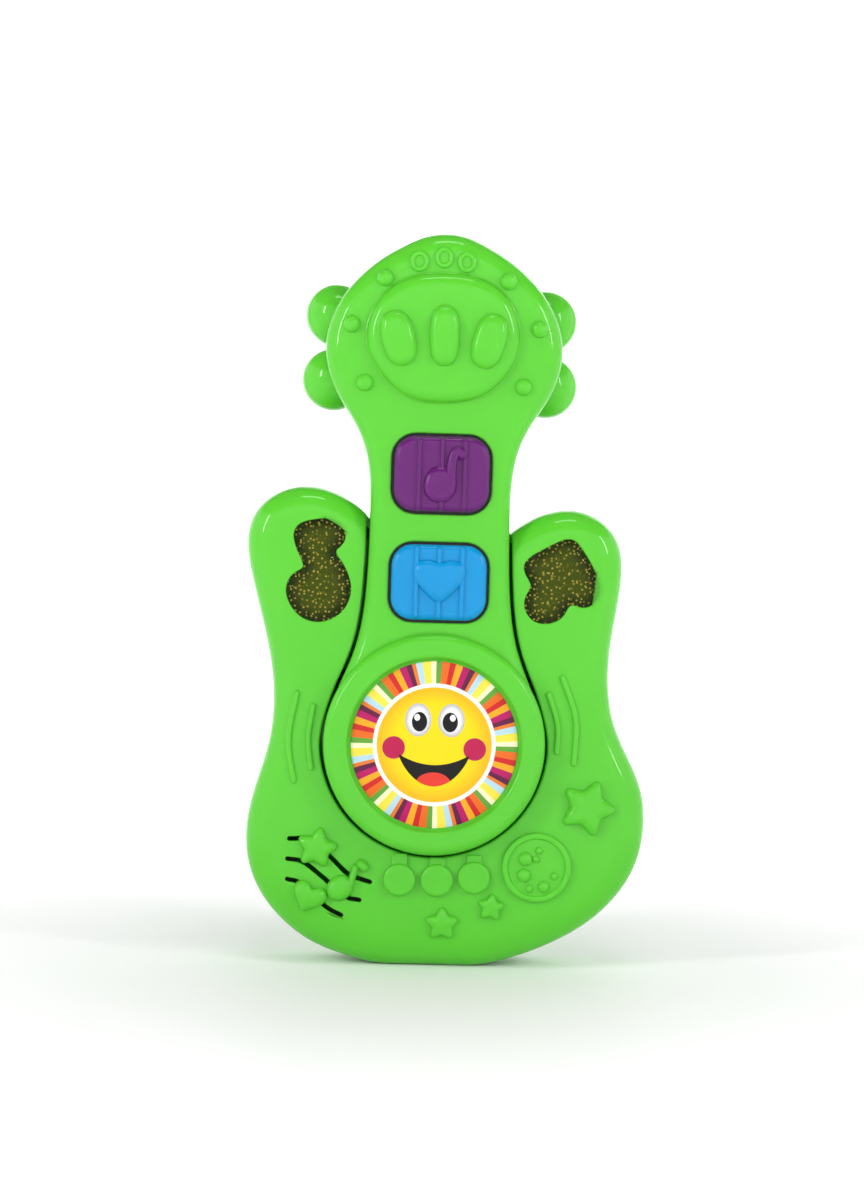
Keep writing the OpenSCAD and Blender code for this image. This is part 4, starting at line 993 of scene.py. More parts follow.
def make_back(sizes, colours):
    """Both skins of the body's back round the wells, slots and bay, then the back of the neck and head."""
    form = Form()
    loop = even(body_loop(), 640)
    band, depth, inner = 4.2, 8.0, BACK - WALL
    rows = [lift(inset(loop, 0.3), BACK_END), lift(loop, BACK_END + 0.3), lift(loop, 4.0)]
    rows += [lift(inset(loop, band * (1 - math.cos(b))), BACK - depth * (1 - math.sin(b)))
             for b in quarter(13)]
    rows.append(lift(inset(loop, band + 0.3), BACK))
    form.grid(np.stack(rows), around=True)
    outer_stops, inner_stops = [], []
    for at in BODY_SCREWS + PANEL_SCREWS:
        stop, within = screw_post(form, at, BACK, 6.0, inner)
        outer_stops.append(stop)
        inner_stops.append(within)
    # sound slots behind the speaker
    for k in range(-2, 3):
        z = SPEAKER_AT[1] + 3.6 * k
        slot = stadium(even([(SPEAKER_AT[0] - 6.2, z), (SPEAKER_AT[0] + 6.2, z)], 12, closed=False), 0.8, 14)
        outer_stops.append(form.mouth(slot, BACK, -1, 0.25, inner))
        inner_stops.append(slot)
    # switch recess with its slot
    x, z = SWITCH_AT
    recess = round_rect(x - 8.5, x + 8.5, z - 4.5, z + 4.5, 1.2)
    slot = round_rect(x - 5.2, x + 5.2, z - 1.7, z + 1.7, 0.4)
    outer_stops.append(form.mouth(recess, BACK, -1, 0.4, 15.5))
    form.fill([recess, slot], 15.5)
    form.grid(np.stack([lift(slot, 15.5), lift(slot, 13.5)]), around=True)
    housing = round_rect(x - 11, x + 11, z - 7, z + 7, 1.0)
    form.grid(np.stack([lift(housing, inner), lift(housing, 13.5)]), around=True)
    form.fill([housing, slot], 13.5)
    inner_stops.append(housing)
    # door recess, its ledge, the pit of the door's screw and the battery bay
    opening = round_rect(-33.3, 33.3, 45.7, 88.3, 1.5)
    outer_stops.append(form.mouth(opening, BACK, -1, 0.35, 15.8))
    bay_mouth, bay = round_rect(-28.5, 28.5, 53.6, 88.1, 1.0), round_rect(-28.5, 28.5, 53.6, 93.0, 1.0)
    pit = circle((0, 49.4), 3.6, 48)
    form.fill([opening, bay_mouth, pit], 15.8)
    form.turned((0, 49.4), [(3.6, 15.8), (3.6, 11.7), (2.05, 11.7), (1.42, 9.5), (1.42, 7.0), (0.0, 7.0)], 48)
    form.grid(np.stack([lift(bay_mouth, 15.8), lift(bay, 15.6), lift(bay, 0.4)]), around=True)
    form.fill([bay], 0.4)
    outside, box = round_rect(-35.3, 35.3, 43.7, 95.0, 2.0), round_rect(-30.3, 30.3, 51.8, 94.8, 1.0)
    form.grid(np.stack([lift(outside, inner), lift(outside, 13.8), lift(box, 13.8), lift(box, -1.2)]),
              around=True)
    form.fill([box], -1.2)
    inner_stops.append(outside)
    for z in (61.2, 76.5):  # cradle ribs that hold each cell
        for x in (-12.0, 12.0):
            form.stack(round_rect(x - 0.8, x + 0.8, z - 5.0, z + 5.0, 0.3), [(0, 0.2), (0, 1.0)],
                       caps=(True, True))
    form.fill([inset(loop, band + 0.3)] + outer_stops, BACK)
    rows = [lift(inset(loop, WALL), BACK_END), lift(inset(loop, WALL), 8.0), lift(inset(loop, 2.8), 13.0),
            lift(inset(loop, 4.4), inner)]
    form.grid(np.stack(rows), around=True)
    form.fill([inset(loop, 4.4)] + inner_stops, inner)
    form.fill([inset(loop, 0.3), inset(loop, WALL)], BACK_END)

    # back of the neck and head, with its foot buried in the body
    neck = even(neck_loop(), 1400)
    above = neck[:, 1] >= 131
    run = np.roll(neck, -np.flatnonzero(above & ~np.roll(above, 1))[0], 0)[: above.sum()]
    neck = even(np.vstack([run, even([run[-1], run[0]], 40, closed=False)[1:-1]]), 520)
    band = np.interp(neck[:, 1], [0, 176, 192, 240], [4.3, 4.3, 6.0, 6.0])
    rows = [lift(inset(neck, 0.3), BACK_END), lift(neck, BACK_END + 0.3), lift(neck, 3.0)]
    rows += [lift(inset(neck, band * (1 - math.cos(b))), NECK_BACK - band * (1 - math.sin(b)))
             for b in quarter(11)]
    rows.append(lift(inset(neck, band + 0.3), NECK_BACK))
    form.grid(np.stack(rows), around=True)
    posts = [screw_post(form, at, NECK_BACK, 4.0, NECK_BACK - WALL) for at in NECK_SCREWS]
    form.fill([inset(neck, band + 0.3)] + [stop for stop, _ in posts], NECK_BACK)
    rows = [lift(inset(neck, WALL), BACK_END), lift(inset(neck, WALL), 3.0),
            lift(inset(neck, band), NECK_BACK - WALL)]
    form.grid(np.stack(rows), around=True)
    form.fill([inset(neck, band)] + [within for _, within in posts], NECK_BACK - WALL)
    form.fill([inset(neck, 0.3), inset(neck, WALL)], BACK_END)
    for x, z in BALLS:
        form.turned((x, z), [(0.0, BACK_END)] + ball_profile(BACK_END, 1), 72)
    form.piece("back_of_toy", green_plastic(colours), "shell", ["back_shell"], "green_back")


def make_door(sizes, colours):
    """Plate with rounded edges, a recess and sleeve for its screw, bowed finger grooves and two tongues."""
    form = Form()
    low_x, high_x, low_z, high_z = DOOR
    plate = round_rect(low_x, high_x, low_z, high_z, 1.2)
    form.stack(plate, [(0.3, 16.0), (0.0, 16.3)] + edge_rows(BACK, 0.5, -1, 6))
    bore = form.mouth(circle(DOOR_SCREW_AT, 2.8), BACK, -1, 0.3, 15.4)
    form.turned(DOOR_SCREW_AT, [(2.8, 15.4), (1.36, 15.4), (1.36, 12.0), (3.3, 12.0), (3.3, 16.0)], 48)
    grips = []
    for k in range(5):
        z, half = high_z - 11.6 + 1.8 * k, 9 - 1.2 * k
        bow = np.stack([np.linspace(-half, half, 24), z - 0.9 * (np.linspace(-1, 1, 24) ** 2)], -1)
        groove = stadium(bow, 0.5, 12)
        grips.append(form.mouth(groove, BACK, -1, 0.25, BACK - 0.55))
        form.fill([groove], BACK - 0.55)
    form.fill([inset(plate, 0.8), bore] + grips, BACK)
    form.fill([inset(plate, 0.3), circle(DOOR_SCREW_AT, 3.3)], 16.0)
    for x in (-15.0, 15.0):
        foot = round_rect(x - 5, x + 5, 84.4, 87.7, 0.4)
        form.stack(foot, [(0.2, 13.7), (0, 13.9), (0, 16.1)], caps=(True, True))
        tongue = round_rect(x - 5, x + 5, 84.4, 91.3, 0.6)
        form.stack(tongue, [(0.25, 13.6), (0, 13.85), (0, 15.15), (0.25, 15.4)], caps=(True, True))
    form.piece("battery_door_panel", green_plastic(colours), "door", ["battery_door"], "green_door")


def add_screw(form, at, seat, head_r, head_t, shaft_r, tip):
    """Pan-head screw along y: a domed head with a tapering cross recess, and a shank whose radius follows a
    ridge that climbs one pitch for each turn."""
    top = seat + head_t
    form.turned(at, [(0.0, seat), (head_r - 0.15, seat), (head_r, seat + 0.15)]
                + [(head_r * (0.72 + 0.28 * math.cos(b)), seat + head_t * (0.4 + 0.6 * math.sin(b)))
                   for b in quarter(7)], 48)
    w, reach = 0.15 * head_r, 0.56 * head_r
    cross = np.array([(reach, -w), (reach, w), (w, w), (w, reach), (-w, reach), (-w, w), (-reach, w),
                      (-reach, -w), (-w, -w), (-w, -reach), (w, -reach), (w, -w)]) + at
    form.fill([circle(at, head_r * 0.72), cross], top)
    form.grid(np.stack([lift(cross, top), lift(inset(cross, 0.12 * w), top - 0.55 * head_t)]), around=True)
    form.fill([inset(cross, 0.12 * w)], top - 0.55 * head_t)
    pitch, around = 1.0, 24
    y = np.linspace(tip, seat + 0.05, int((seat - tip) * 8))[:, None]
    turn = np.arange(around) / around
    ridge = 1 - abs(((y / pitch - turn) % 1) * 2 - 1)
    r = (0.78 + 0.22 * ridge ** 1.5) * shaft_r * smooth((y - tip + 0.3) / 1.6)
    a = turn * 2 * np.pi
    shank = np.stack([at[0] + r * np.cos(a), y + 0 * r, at[1] + r * np.sin(a)], -1)
    ends = [np.broadcast_to([at[0], end, at[1]], (1, around, 3)) for end in (tip, seat + 0.05)]
    form.grid(np.concatenate([ends[0], shank, ends[1]]), around=True)


def make_screws(sizes, colours):
    """One form for each group of like screws, placed as the posts and boards have them."""
    steel = metal("zinc_plate", (0.62, 0.62, 0.6), 0.3)
    shell, panel, boards, door = Form(), Form(), Form(), Form()
    for at in BODY_SCREWS:
        add_screw(shell, at, 6.0, 2.5, 1.8, 1.3, -9.0)
    for at, seat in [(at, 6.0) for at in PANEL_SCREWS] + [(at, 4.0) for at in NECK_SCREWS]:
        add_screw(panel, at, seat, 2.5, 1.8, 1.3, -9.0)
    for at in [(-20, 58), (20, 90)]:
        add_screw(boards, at, -6.4, 1.9, 1.2, 1.0, -11.4)
    for at in [(-10, 143.9), (10, 143.9)]:
        add_screw(boards, at, -7.9, 1.9, 1.2, 1.0, -13.5)
    for turn in (150, -30):
        a = math.radians(turn)
        at = (SPEAKER_AT[0] + 17.5 * math.cos(a), SPEAKER_AT[1] + 17.5 * math.sin(a))
        add_screw(boards, at, -7.85, 1.9, 1.2, 1.0, -12.55)
    add_screw(door, DOOR_SCREW_AT, 15.4, 2.5, 1.6, 1.3, 9.8)
    shell.piece("casing_screws", steel, "shell", ["shell_screws"], "screw_steel")
    panel.piece("neck_screws", steel, "shell", ["panel_screws"], "screw_steel")
    boards.piece("small_screws", steel, "shell", ["board_screws"], "screw_steel")
    door.piece("battery_door_screw", steel, "door", ["door_screw"], "screw_steel")


# ---- keys -------------------------------------------------------------------

def make_key(at, mark, sizes, material, name, body, node, slot):
    """Cap with rounded edges over a flange, three strings along it and a raised mark, hollow from behind."""
    form = Form()
    x, z = at
    top, edge = NECK_FACE - 2.6, sizes.key_edge * 1000
    outline = round_rect(x - 15.5, x + 15.5, z - 12.25, z + 12.25, 7.0, 13)
    rows = [(2.2, -20.2), (2.2, -16.2), (-2.2, -16.2), (-2.4, -16.4), (-2.4, -17.4), (-2.2, -17.6),
            (0.0, -17.6), (0.0, -19.6)]
    form.stack(outline, rows + edge_rows(top, edge, 1, 11), caps=(True, True))
    form.turned((x, z), [(0.0, -13.5), (3.3, -13.5), (3.6, -13.8), (3.6, -20.5), (0.0, -20.5)], 40)

    def cap(points):
        """Depth of the cap's top: flat, and dropping along a quarter circle at its edge."""
        gap, _ = nearest(points, outline)
        gap = np.where(inside(points, outline), gap, 0)
        t = np.clip(1 - gap / edge, 0, 1)
        return top + edge * (1 - np.sqrt(1 - t ** 2))

    for shift in (-7.4, 0.0, 7.4):
        line = np.stack([np.full(120, x + shift), np.linspace(z - 12.0, z + 12.0, 120)], -1)
        form.ridge(line, 0.8, cap, sizes.string_rise * 1000, sink=0.3, flatness=3.2)
    mark(form, level(top))
    form.piece(name, material, body, [node], slot)


def note_mark(form, base):
    """A note: a swollen oval head, and one ridge for its stem and hook."""
    form.pillow(oval((-0.5, 158.1), 5.4, 6.0, -10, 2.15, 120), base, 2.1, 4.2, 1.8, 0.4, 18)
    hook = open_curve([(2.9, 158.5), (2.9, 163.0), (3.5, 167.0), (4.7, 168.9), (6.2, 168.2),
                       (6.8, 166.2)], 90)
    form.ridge(hook, np.interp(np.linspace(0, 1, 90), [0, 0.5, 1], [1.9, 1.7, 1.7]), base, 2.0, 0.4, 2.6, 17)


def heart_mark(form, base):
    """A heart: one half's outline, mirrored and swollen."""
    half = [[2.3, 133.5], [5.2, 133.6], [7.8, 132.3], [8.6, 129.9], [7.9, 126.9], [5.9, 124.2], [3.2, 121.5]]
    outline = [[0, 132.9]] + half + [[0, 119.7]] + [[-x, z] for x, z in half[::-1]]
    form.pillow(closed_curve(turned_left(outline), 180, 0.3), base, 2.2, 5.0, 1.7, 0.4, 20)


def make_keys(sizes, colours):
    """Both keys, whose colour darkens to near black below the neck's face: painted shade for the gap round
    them.
    """
    for name, mark in (("purple", note_mark), ("blue", heart_mark)):
        material = moulded(f"{name}_plastic", getattr(colours, name), 0.2, root=(-0.0200, -0.0190))
        make_key(KEYS[name], mark, sizes, material, f"{name}_key", f"key_{name}", f"button_{name}",
                 f"{name}_key")


# ---- printed sun ------------------------------------------------------------

# one eighth of the rays: the width of each in degrees, and its ink
RAY_INKS = [(4.0, (0.16, 0.42, 0.06)), (5.5, (0.86, 0.19, 0.02)), (4.2, (0.68, 0.03, 0.03)),
            (5.0, (0.93, 0.45, 0.02)), (5.0, (0.55, 0.01, 0.16)), (4.0, (0.16, 0.015, 0.08)),
            (2.8, (0.86, 0.25, 0.03)), (4.7, (0.52, 0.74, 0.86)), (6.0, (0.95, 0.80, 0.10)),
            (3.8, (0.96, 0.90, 0.62))]
RAYS_R, RING_INK_R, DISC_R = 26.9, 20.0, 18.7
# places in the list of the sun's shapes
CHEEKS, TONGUE, EYES = (0, 1), 3, (4, 7)


def mirror(loop):
    """The loop's mirror image across x = 0, again anticlockwise."""
    return turned_left(loop * [-1, 1])


def sun_shapes():
    """Closed outlines of the sun's own simple face round its middle, in printing order, each with its ink."""
    white, black, cheek = (0.93, 0.93, 0.93), (0.004, 0.004, 0.004), (0.55, 0.015, 0.10)
    u, v = np.linspace(-1, 1, 40), np.linspace(1, -1, 60)
    mouth_top = np.stack([11.6 * u, -3.2 - 3.4 * (1 - u ** 2)], -1)
    mouth_low = np.stack([11.6 * v, -3.2 - 10.4 * (1 - v ** 2) ** 0.8], -1)
    mouth = closed_curve(even(turned_left(np.vstack([mouth_top, mouth_low[1:-1]])), 60), 160, 0.1)
    tongue = oval((0, -13.6), 6.0, 4.6, 0, 2.1, 80)
    left = [(oval((-13.2, -1.2), 3.7, 3.7, 0, 2, 64), cheek)]
    left += [(oval((-5.4, 8.0), 4.3, 5.4, 0, 2, 80), white), (oval((-5.0, 7.4), 2.5, 3.2, 0, 2, 64), black),
             (oval((-5.8, 8.8), 0.95, 1.1, 0, 2, 40), white)]
    right = [(mirror(loop), ink) for loop, ink in left]
    return left[:1] + right[:1] + [(mouth, black), (tongue, (0.80, 0.06, 0.04))] + left[1:] + right[1:], mouth


def sun_inks(at, spot, sun):
    """Ink at each corner: rays by angle, a white ring, the yellow disc, then the shapes of the face in
    order. at is where the corner is and spot the middle of its face, so that each area keeps a crisp edge."""
    reach = np.linalg.norm(spot, axis=1)
    clock = np.degrees(np.arctan2(spot[:, 0], spot[:, 1])) % 45
    ends = np.cumsum([width for width, _ in RAY_INKS])
    ray = np.searchsorted(ends, np.clip(clock, 0, 44.99), side="right")
    ink = np.array([rgb for _, rgb in RAY_INKS])[ray]
    ink[reach < RING_INK_R] = (0.95, 0.94, 0.90)
    disc = reach < DISC_R
    corner = np.linalg.norm(at, axis=1)
    rim = smooth((corner - 12.5) / 6.5)[:, None]
    ink = np.where(disc[:, None], np.array(sun) * (1 - rim) + np.array([0.94, 0.52, 0.01]) * rim, ink)
    shapes, mouth = sun_shapes()
    for k, (loop, rgb) in enumerate(shapes):
        hit = inside(spot, loop)
        if k == TONGUE:
            hit &= inside(spot, mouth)
        shade = np.tile(rgb, (len(spot), 1))
        if k in CHEEKS + EYES:  # soft shade towards their edges
            middle, size = loop.mean(0), loop.max(0) - loop.mean(0)
            out = np.linalg.norm((at - middle) / size, axis=1)
            darker = (0.55, 0.02, 0.12) if k in CHEEKS else (0.42, 0.42, 0.46)
            shade = shade + smooth((out - 0.55) / 0.6)[:, None] * (np.array(darker) - shade)
        ink = np.where(hit[:, None], shade, ink)
    return ink


def make_label(sizes, colours):
    """The print's areas are cut into one flat mesh, with extra rings inside them so that soft shades stay
    smooth. The corners of each face then carry its ink."""
    bounds_deg = np.concatenate([[0], np.cumsum([width for width, _ in RAY_INKS])[:-1]])
    rays = np.radians(90 - (np.arange(8)[:, None] * 45 + bounds_deg).ravel())
    angles = np.unique(np.round(np.concatenate([rays % (2 * np.pi), np.arange(240) * 2 * np.pi / 240]), 6))
    unit = np.stack([np.cos(angles), np.sin(angles)], -1)
    ray_unit = np.stack([np.cos(rays), np.sin(rays)], -1)
    shapes, _ = sun_shapes()
    loops = [unit * r for r in (RAYS_R, RING_INK_R, DISC_R)]
    loops += [circle((0, 0), r, 120) for r in (17.3, 15.8, 14.2, 12.6, 9.0)]
    loops += [loop for loop, _ in shapes]
    for k in CHEEKS + EYES:
        middle = shapes[k][0].mean(0)
        loops += [middle + (shapes[k][0] - middle) * f for f in (0.88, 0.74, 0.6)]
    flat = np.concatenate(loops)
    ends = np.cumsum([len(loop) for loop in loops])
    own = np.arange(len(flat))
    after = own + 1
    after[ends - 1] = ends - [len(loop) for loop in loops]
    edges = np.stack([own, after], -1)
    near = [np.linalg.norm(unit[None] - ray_unit[:, None], axis=2).argmin(1) + k * len(unit) for k in (0, 1)]
    edges = np.vstack([edges, np.stack(near, -1)])
    found = delaunay_2d_cdt(flat.tolist(), edges.tolist(), [], 0, 1e-5)
    form = Form()
    top = LABEL_FACE - 0.3
    form.add(lift(np.array(found[0]) + RING_AT, top), tris=np.array(found[2]))
    rim = [(RAYS_R, top), (27.1, top + 0.06), (27.2, top + 0.15), (27.2, LABEL_FACE)]
    form.grid(np.stack([lift(unit * r + RING_AT, y) for r, y in rim]), around=True)
    form.fill([unit * 27.2 + RING_AT], LABEL_FACE)
    sticker = form.piece("printed_sun", printed("printed_vinyl"), "shell", ["face_label"], "printed_label")
    mesh = sticker.data
    at = np.zeros(len(mesh.vertices) * 3)
    mesh.vertices.foreach_get("co", at)
    at = at.reshape(-1, 3)[:, [0, 2]] * 1000 - RING_AT
    corner, size = np.zeros(len(mesh.loops), int), np.zeros(len(mesh.polygons), int)
    mesh.loops.foreach_get("vertex_index", corner)
    mesh.polygons.foreach_get("loop_total", size)
    owner = np.repeat(np.arange(len(size)), size)
    middle = np.stack([np.bincount(owner, at[corner, k]) / size for k in (0, 1)], -1)
    ink = 0.86 * sun_inks(at[corner], middle[owner], colours.sun) ** 1.12
    layer = mesh.color_attributes.new("ink", "FLOAT_COLOR", "CORNER")
    layer.data.foreach_set("color", np.column_stack([ink, np.ones(len(ink))]).ravel())


# ---- windows ----------------------------------------------------------------

def make_windows(sizes, colours):
    """Each window is a note-shaped lens with a rounded top edge over a glitter sheet."""
    sheet_face, sheet_back = -12.55, -12.32
    clear = smoky("smoky_plastic", colours.lens)
    gold = glittered("gold_glitter", colours.glitter, sizes.glitter_size)
    for side, points in (("left", LENS_LEFT), ("right", LENS_RIGHT)):
        loop = closed_curve(turned_left(points), 220, 0.5)
        form = Form()
        rows = [(-1.5, -12.7), (-1.5, -13.65), (0.0, -13.65), (0.0, FACE + 0.2)]
        rows += [(0.35 * (1 - math.cos(b)), FACE - 0.05 - 0.25 * math.sin(b)) for b in quarter(5)]
        rows += [(0.95, FACE - 0.3), (1.1, FACE - 0.25)]
        rows += [(1.15 + 1.5 * (1 - math.cos(b)), FACE - 0.3 - 0.9 * math.sin(b)) for b in quarter(9)]
        rows.append((2.95, FACE - 1.2))
        form.stack(loop, rows, caps=(True, True))
        form.piece(f"window_{side}", clear, "shell", [f"lens_{side}"], "smoky_lens")
        # the sheet's own grid of points carries its distance from the rim, 1 from 4.5 mm inward; the material
        # uses it to darken the sheet near the rim as painted shade along the window's edge
        rim = even(inset(loop, -1.3), 160)
        low, high = rim.min(0), rim.max(0)
        spread = np.meshgrid(np.arange(low[0], high[0], 1.0), np.arange(low[1], high[1], 1.0))
        spread = np.stack(spread, -1).reshape(-1, 2)
        spread = spread[inside(spread, rim) & (nearest(spread, rim)[0] > 0.6)]
        own = np.arange(len(rim))
        edges = np.stack([own, np.roll(own, -1)], -1)
        found = delaunay_2d_cdt(np.vstack([rim, spread]).tolist(), edges.tolist(), [], 0, 1e-7)
        at, tris = np.array(found[0]), np.array(found[2])
        tris = tris[inside(at[tris].mean(1), rim)]
        sheet = Form()
        sheet.add(lift(at, sheet_face), tris=tris)
        sheet.grid(np.stack([lift(rim, sheet_face), lift(rim, sheet_back)]), around=True)
        sheet.fill([rim], sheet_back)
        made = sheet.piece(f"glitter_sheet_{side}", gold, "shell", [f"glitter_{side}"], "gold_glitter")
        place_of = np.zeros(len(made.data.vertices) * 3)
        made.data.vertices.foreach_get("co", place_of)
        from_rim = nearest(place_of.reshape(-1, 3)[:, [0, 2]] * 1000, rim)[0]
        layer = made.data.attributes.new("rim", "FLOAT", "POINT")
        layer.data.foreach_set("value", smooth((from_rim - 1.5) / 4.5))


# ---- works inside -----------------------------------------------------------

def make_cells(sizes, colours):
    """Each cell is a profile turned about its own axis: crimped ends, a wrapped can and a button."""
    for name, node in (("cell_upper", "battery_cell_upper"), ("cell_lower", "battery_cell_lower")):
        low, high = (np.array(corner) * 1000 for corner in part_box(node))
        facing = 1 if node.endswith("upper") else -1
        start, end = (low[0], high[0]) if facing == 1 else (high[0], low[0])
        r = (high[2] - low[2]) / 2
        u = np.array([(0.0, 0.25), (3.6, 0.25), (4.1, 0.0), (5.6, 0.0), (6.1, 0.5), (6.6, 0.15), (6.95, 0.1),
                      (r - 0.05, 0.5), (r, 1.0), (r, 25.0), (r, 48.0), (r - 0.1, 48.6), (6.8, 49.0),
                      (6.3, 48.9), (5.9, 48.6), (3.2, 48.6), (2.9, 48.9), (2.7, 49.3), (2.7, 50.1),
                      (2.45, 50.4), (0.0, 50.4)])
        form = Form()
        a = np.arange(72) * 2 * np.pi / 72
        middle = (low + high) / 2
        x = start + facing * u[:, 1:] * (high[0] - low[0]) / 50.4
        y, z = middle[1] + u[:, :1] * np.cos(a), middle[2] + u[:, :1] * np.sin(a)
        form.grid(np.stack([x + 0 * a, y, z], -1), around=True)
        steel, wrap, band = (0.62, 0.61, 0.58), (0.02, 0.02, 0.025), (0.55, 0.27, 0.03)
        places = [start + facing * s for s in (0.0, 0.9, 32.0, 48.3)]
        inks = [steel, wrap, band, steel]
        if facing == -1:
            places, inks = [end, start - 48.3, start - 32.0, start - 0.9], inks[::-1]
        steps = [(p / 1000, ink) for p, ink in zip(places, inks)]
        form.piece(name, banded(f"{name}_wrap", steps, 0, 0.28, 0.85), "shell", [node], "cell_wrap")


def make_switch_knob(sizes, colours):
    """Rounded block with four ribs across it, on a square stem."""
    low, high = (np.array(corner) * 1000 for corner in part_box("switch_knob"))
    x, z = (low[0] + high[0]) / 2, (low[2] + high[2]) / 2
    form = Form()
    top = 17.1
    form.stack(round_rect(x - 3.2, x + 3.2, z - 3, z + 3, 0.7),
               [(0.2, 15.8), (0, 16.0)] + edge_rows(top, 0.4, -1, 6), caps=(True, True))
    for shift in (-1.8, -0.6, 0.6, 1.8):
        rib = np.stack([np.full(30, x + shift), np.linspace(z - 2.5, z + 2.5, 30)], -1)
        form.ridge(rib, 0.32, level(top), -0.5, sink=-0.2, flatness=2.4, across=9)
    form.stack(round_rect(x - 1.4, x + 1.4, z - 1.3, z + 1.3, 0.3), [(0, 10.6), (0, 15.9)], caps=(True, True))
    knob = moulded("black_plastic", (0.012, 0.012, 0.013), 0.4, 0.00006, 0.05)
    form.piece("power_switch_knob", knob, "switch", ["switch_knob"], "black_knob")


def finish_works(sizes, colours):
    """The works keep their shapes from the frame and get finishes of their own; the speaker's cone and basket
    are darkened as painted shade for the slots in front of them.
    """
    silicone = moulded("dome_rubber", (0.62, 0.62, 0.58), 0.5, 0.00005, 0.0, 0.3)
    board = etched_board("solder_mask", colours.board)
    steel = metal("stamped_steel", (0.55, 0.55, 0.54), 0.35)
    nickel = metal("nickel_plate", (0.68, 0.66, 0.6), 0.22)
    # painted shade: basket and clamp steel is coloured near black so that the ends of the speaker slots read
    # as shade
    slot_shade_steel = metal("steel_dark_as_slot_shade", (0.03, 0.05, 0.03), 0.45)
    magnet = metal("sintered_magnet", (0.12, 0.12, 0.12), 0.55)
    # painted shade: the cone's paper is coloured dark green so that the speaker slots in front of it read as
    # shaded green plastic
    cone_slot_shade = moulded("cone_paper_slot_shade", (0.02, 0.16, 0.02), 0.85, 0.0002, 0.0)
    lamp = moulded("lamp_epoxy", (0.75, 0.78, 0.72), 0.08, 0.00001, 0.4, 0.2)
    red, grey, pale = (0.5, 0.03, 0.03), (0.3, 0.3, 0.3), (0.42, 0.42, 0.42)
    cores = [(k * 0.0012 - 0.006, ink) for k, ink in enumerate([red] + [grey, pale] * 4 + [grey])]
    sleeve = [(0.066, (0.01, 0.02, 0.13)), (0.0738, (0.5, 0.5, 0.5))]
    finishes = {"dome_purple": silicone, "dome_blue": silicone, "button_board": board, "main_board": board,
                "chip_blob": moulded("black_epoxy", (0.01, 0.01, 0.01), 0.15, 0.00008, 0.3),
                "capacitor": banded("capacitor_sleeve", sleeve, 2, 0.3),
                "button_ribbon": banded("flat_cable", cores, 0, 0.5),
                "speaker_basket": slot_shade_steel, "speaker_clamp": slot_shade_steel, "speaker_magnet": magnet,
                "speaker_cone": cone_slot_shade, "switch_body": steel, "led_left": lamp, "led_right": lamp,
                "led_leads": nickel,
                "contact_plates": nickel, "contact_springs": nickel,
                "speaker_leads": moulded("red_lead_skin", (0.45, 0.012, 0.01), 0.4, 0.00005, 0.0),
                "battery_leads": moulded("black_lead_skin", (0.015, 0.015, 0.015), 0.4, 0.00005, 0.0)}
    for node, material in finishes.items():
        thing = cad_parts[node]
        while len(thing.material_slots) < 1:
            thing.data.materials.append(None)
        for spot in thing.material_slots:
            spot.link = "OBJECT"
            spot.material = material


# ---- studio -----------------------------------------------------------------

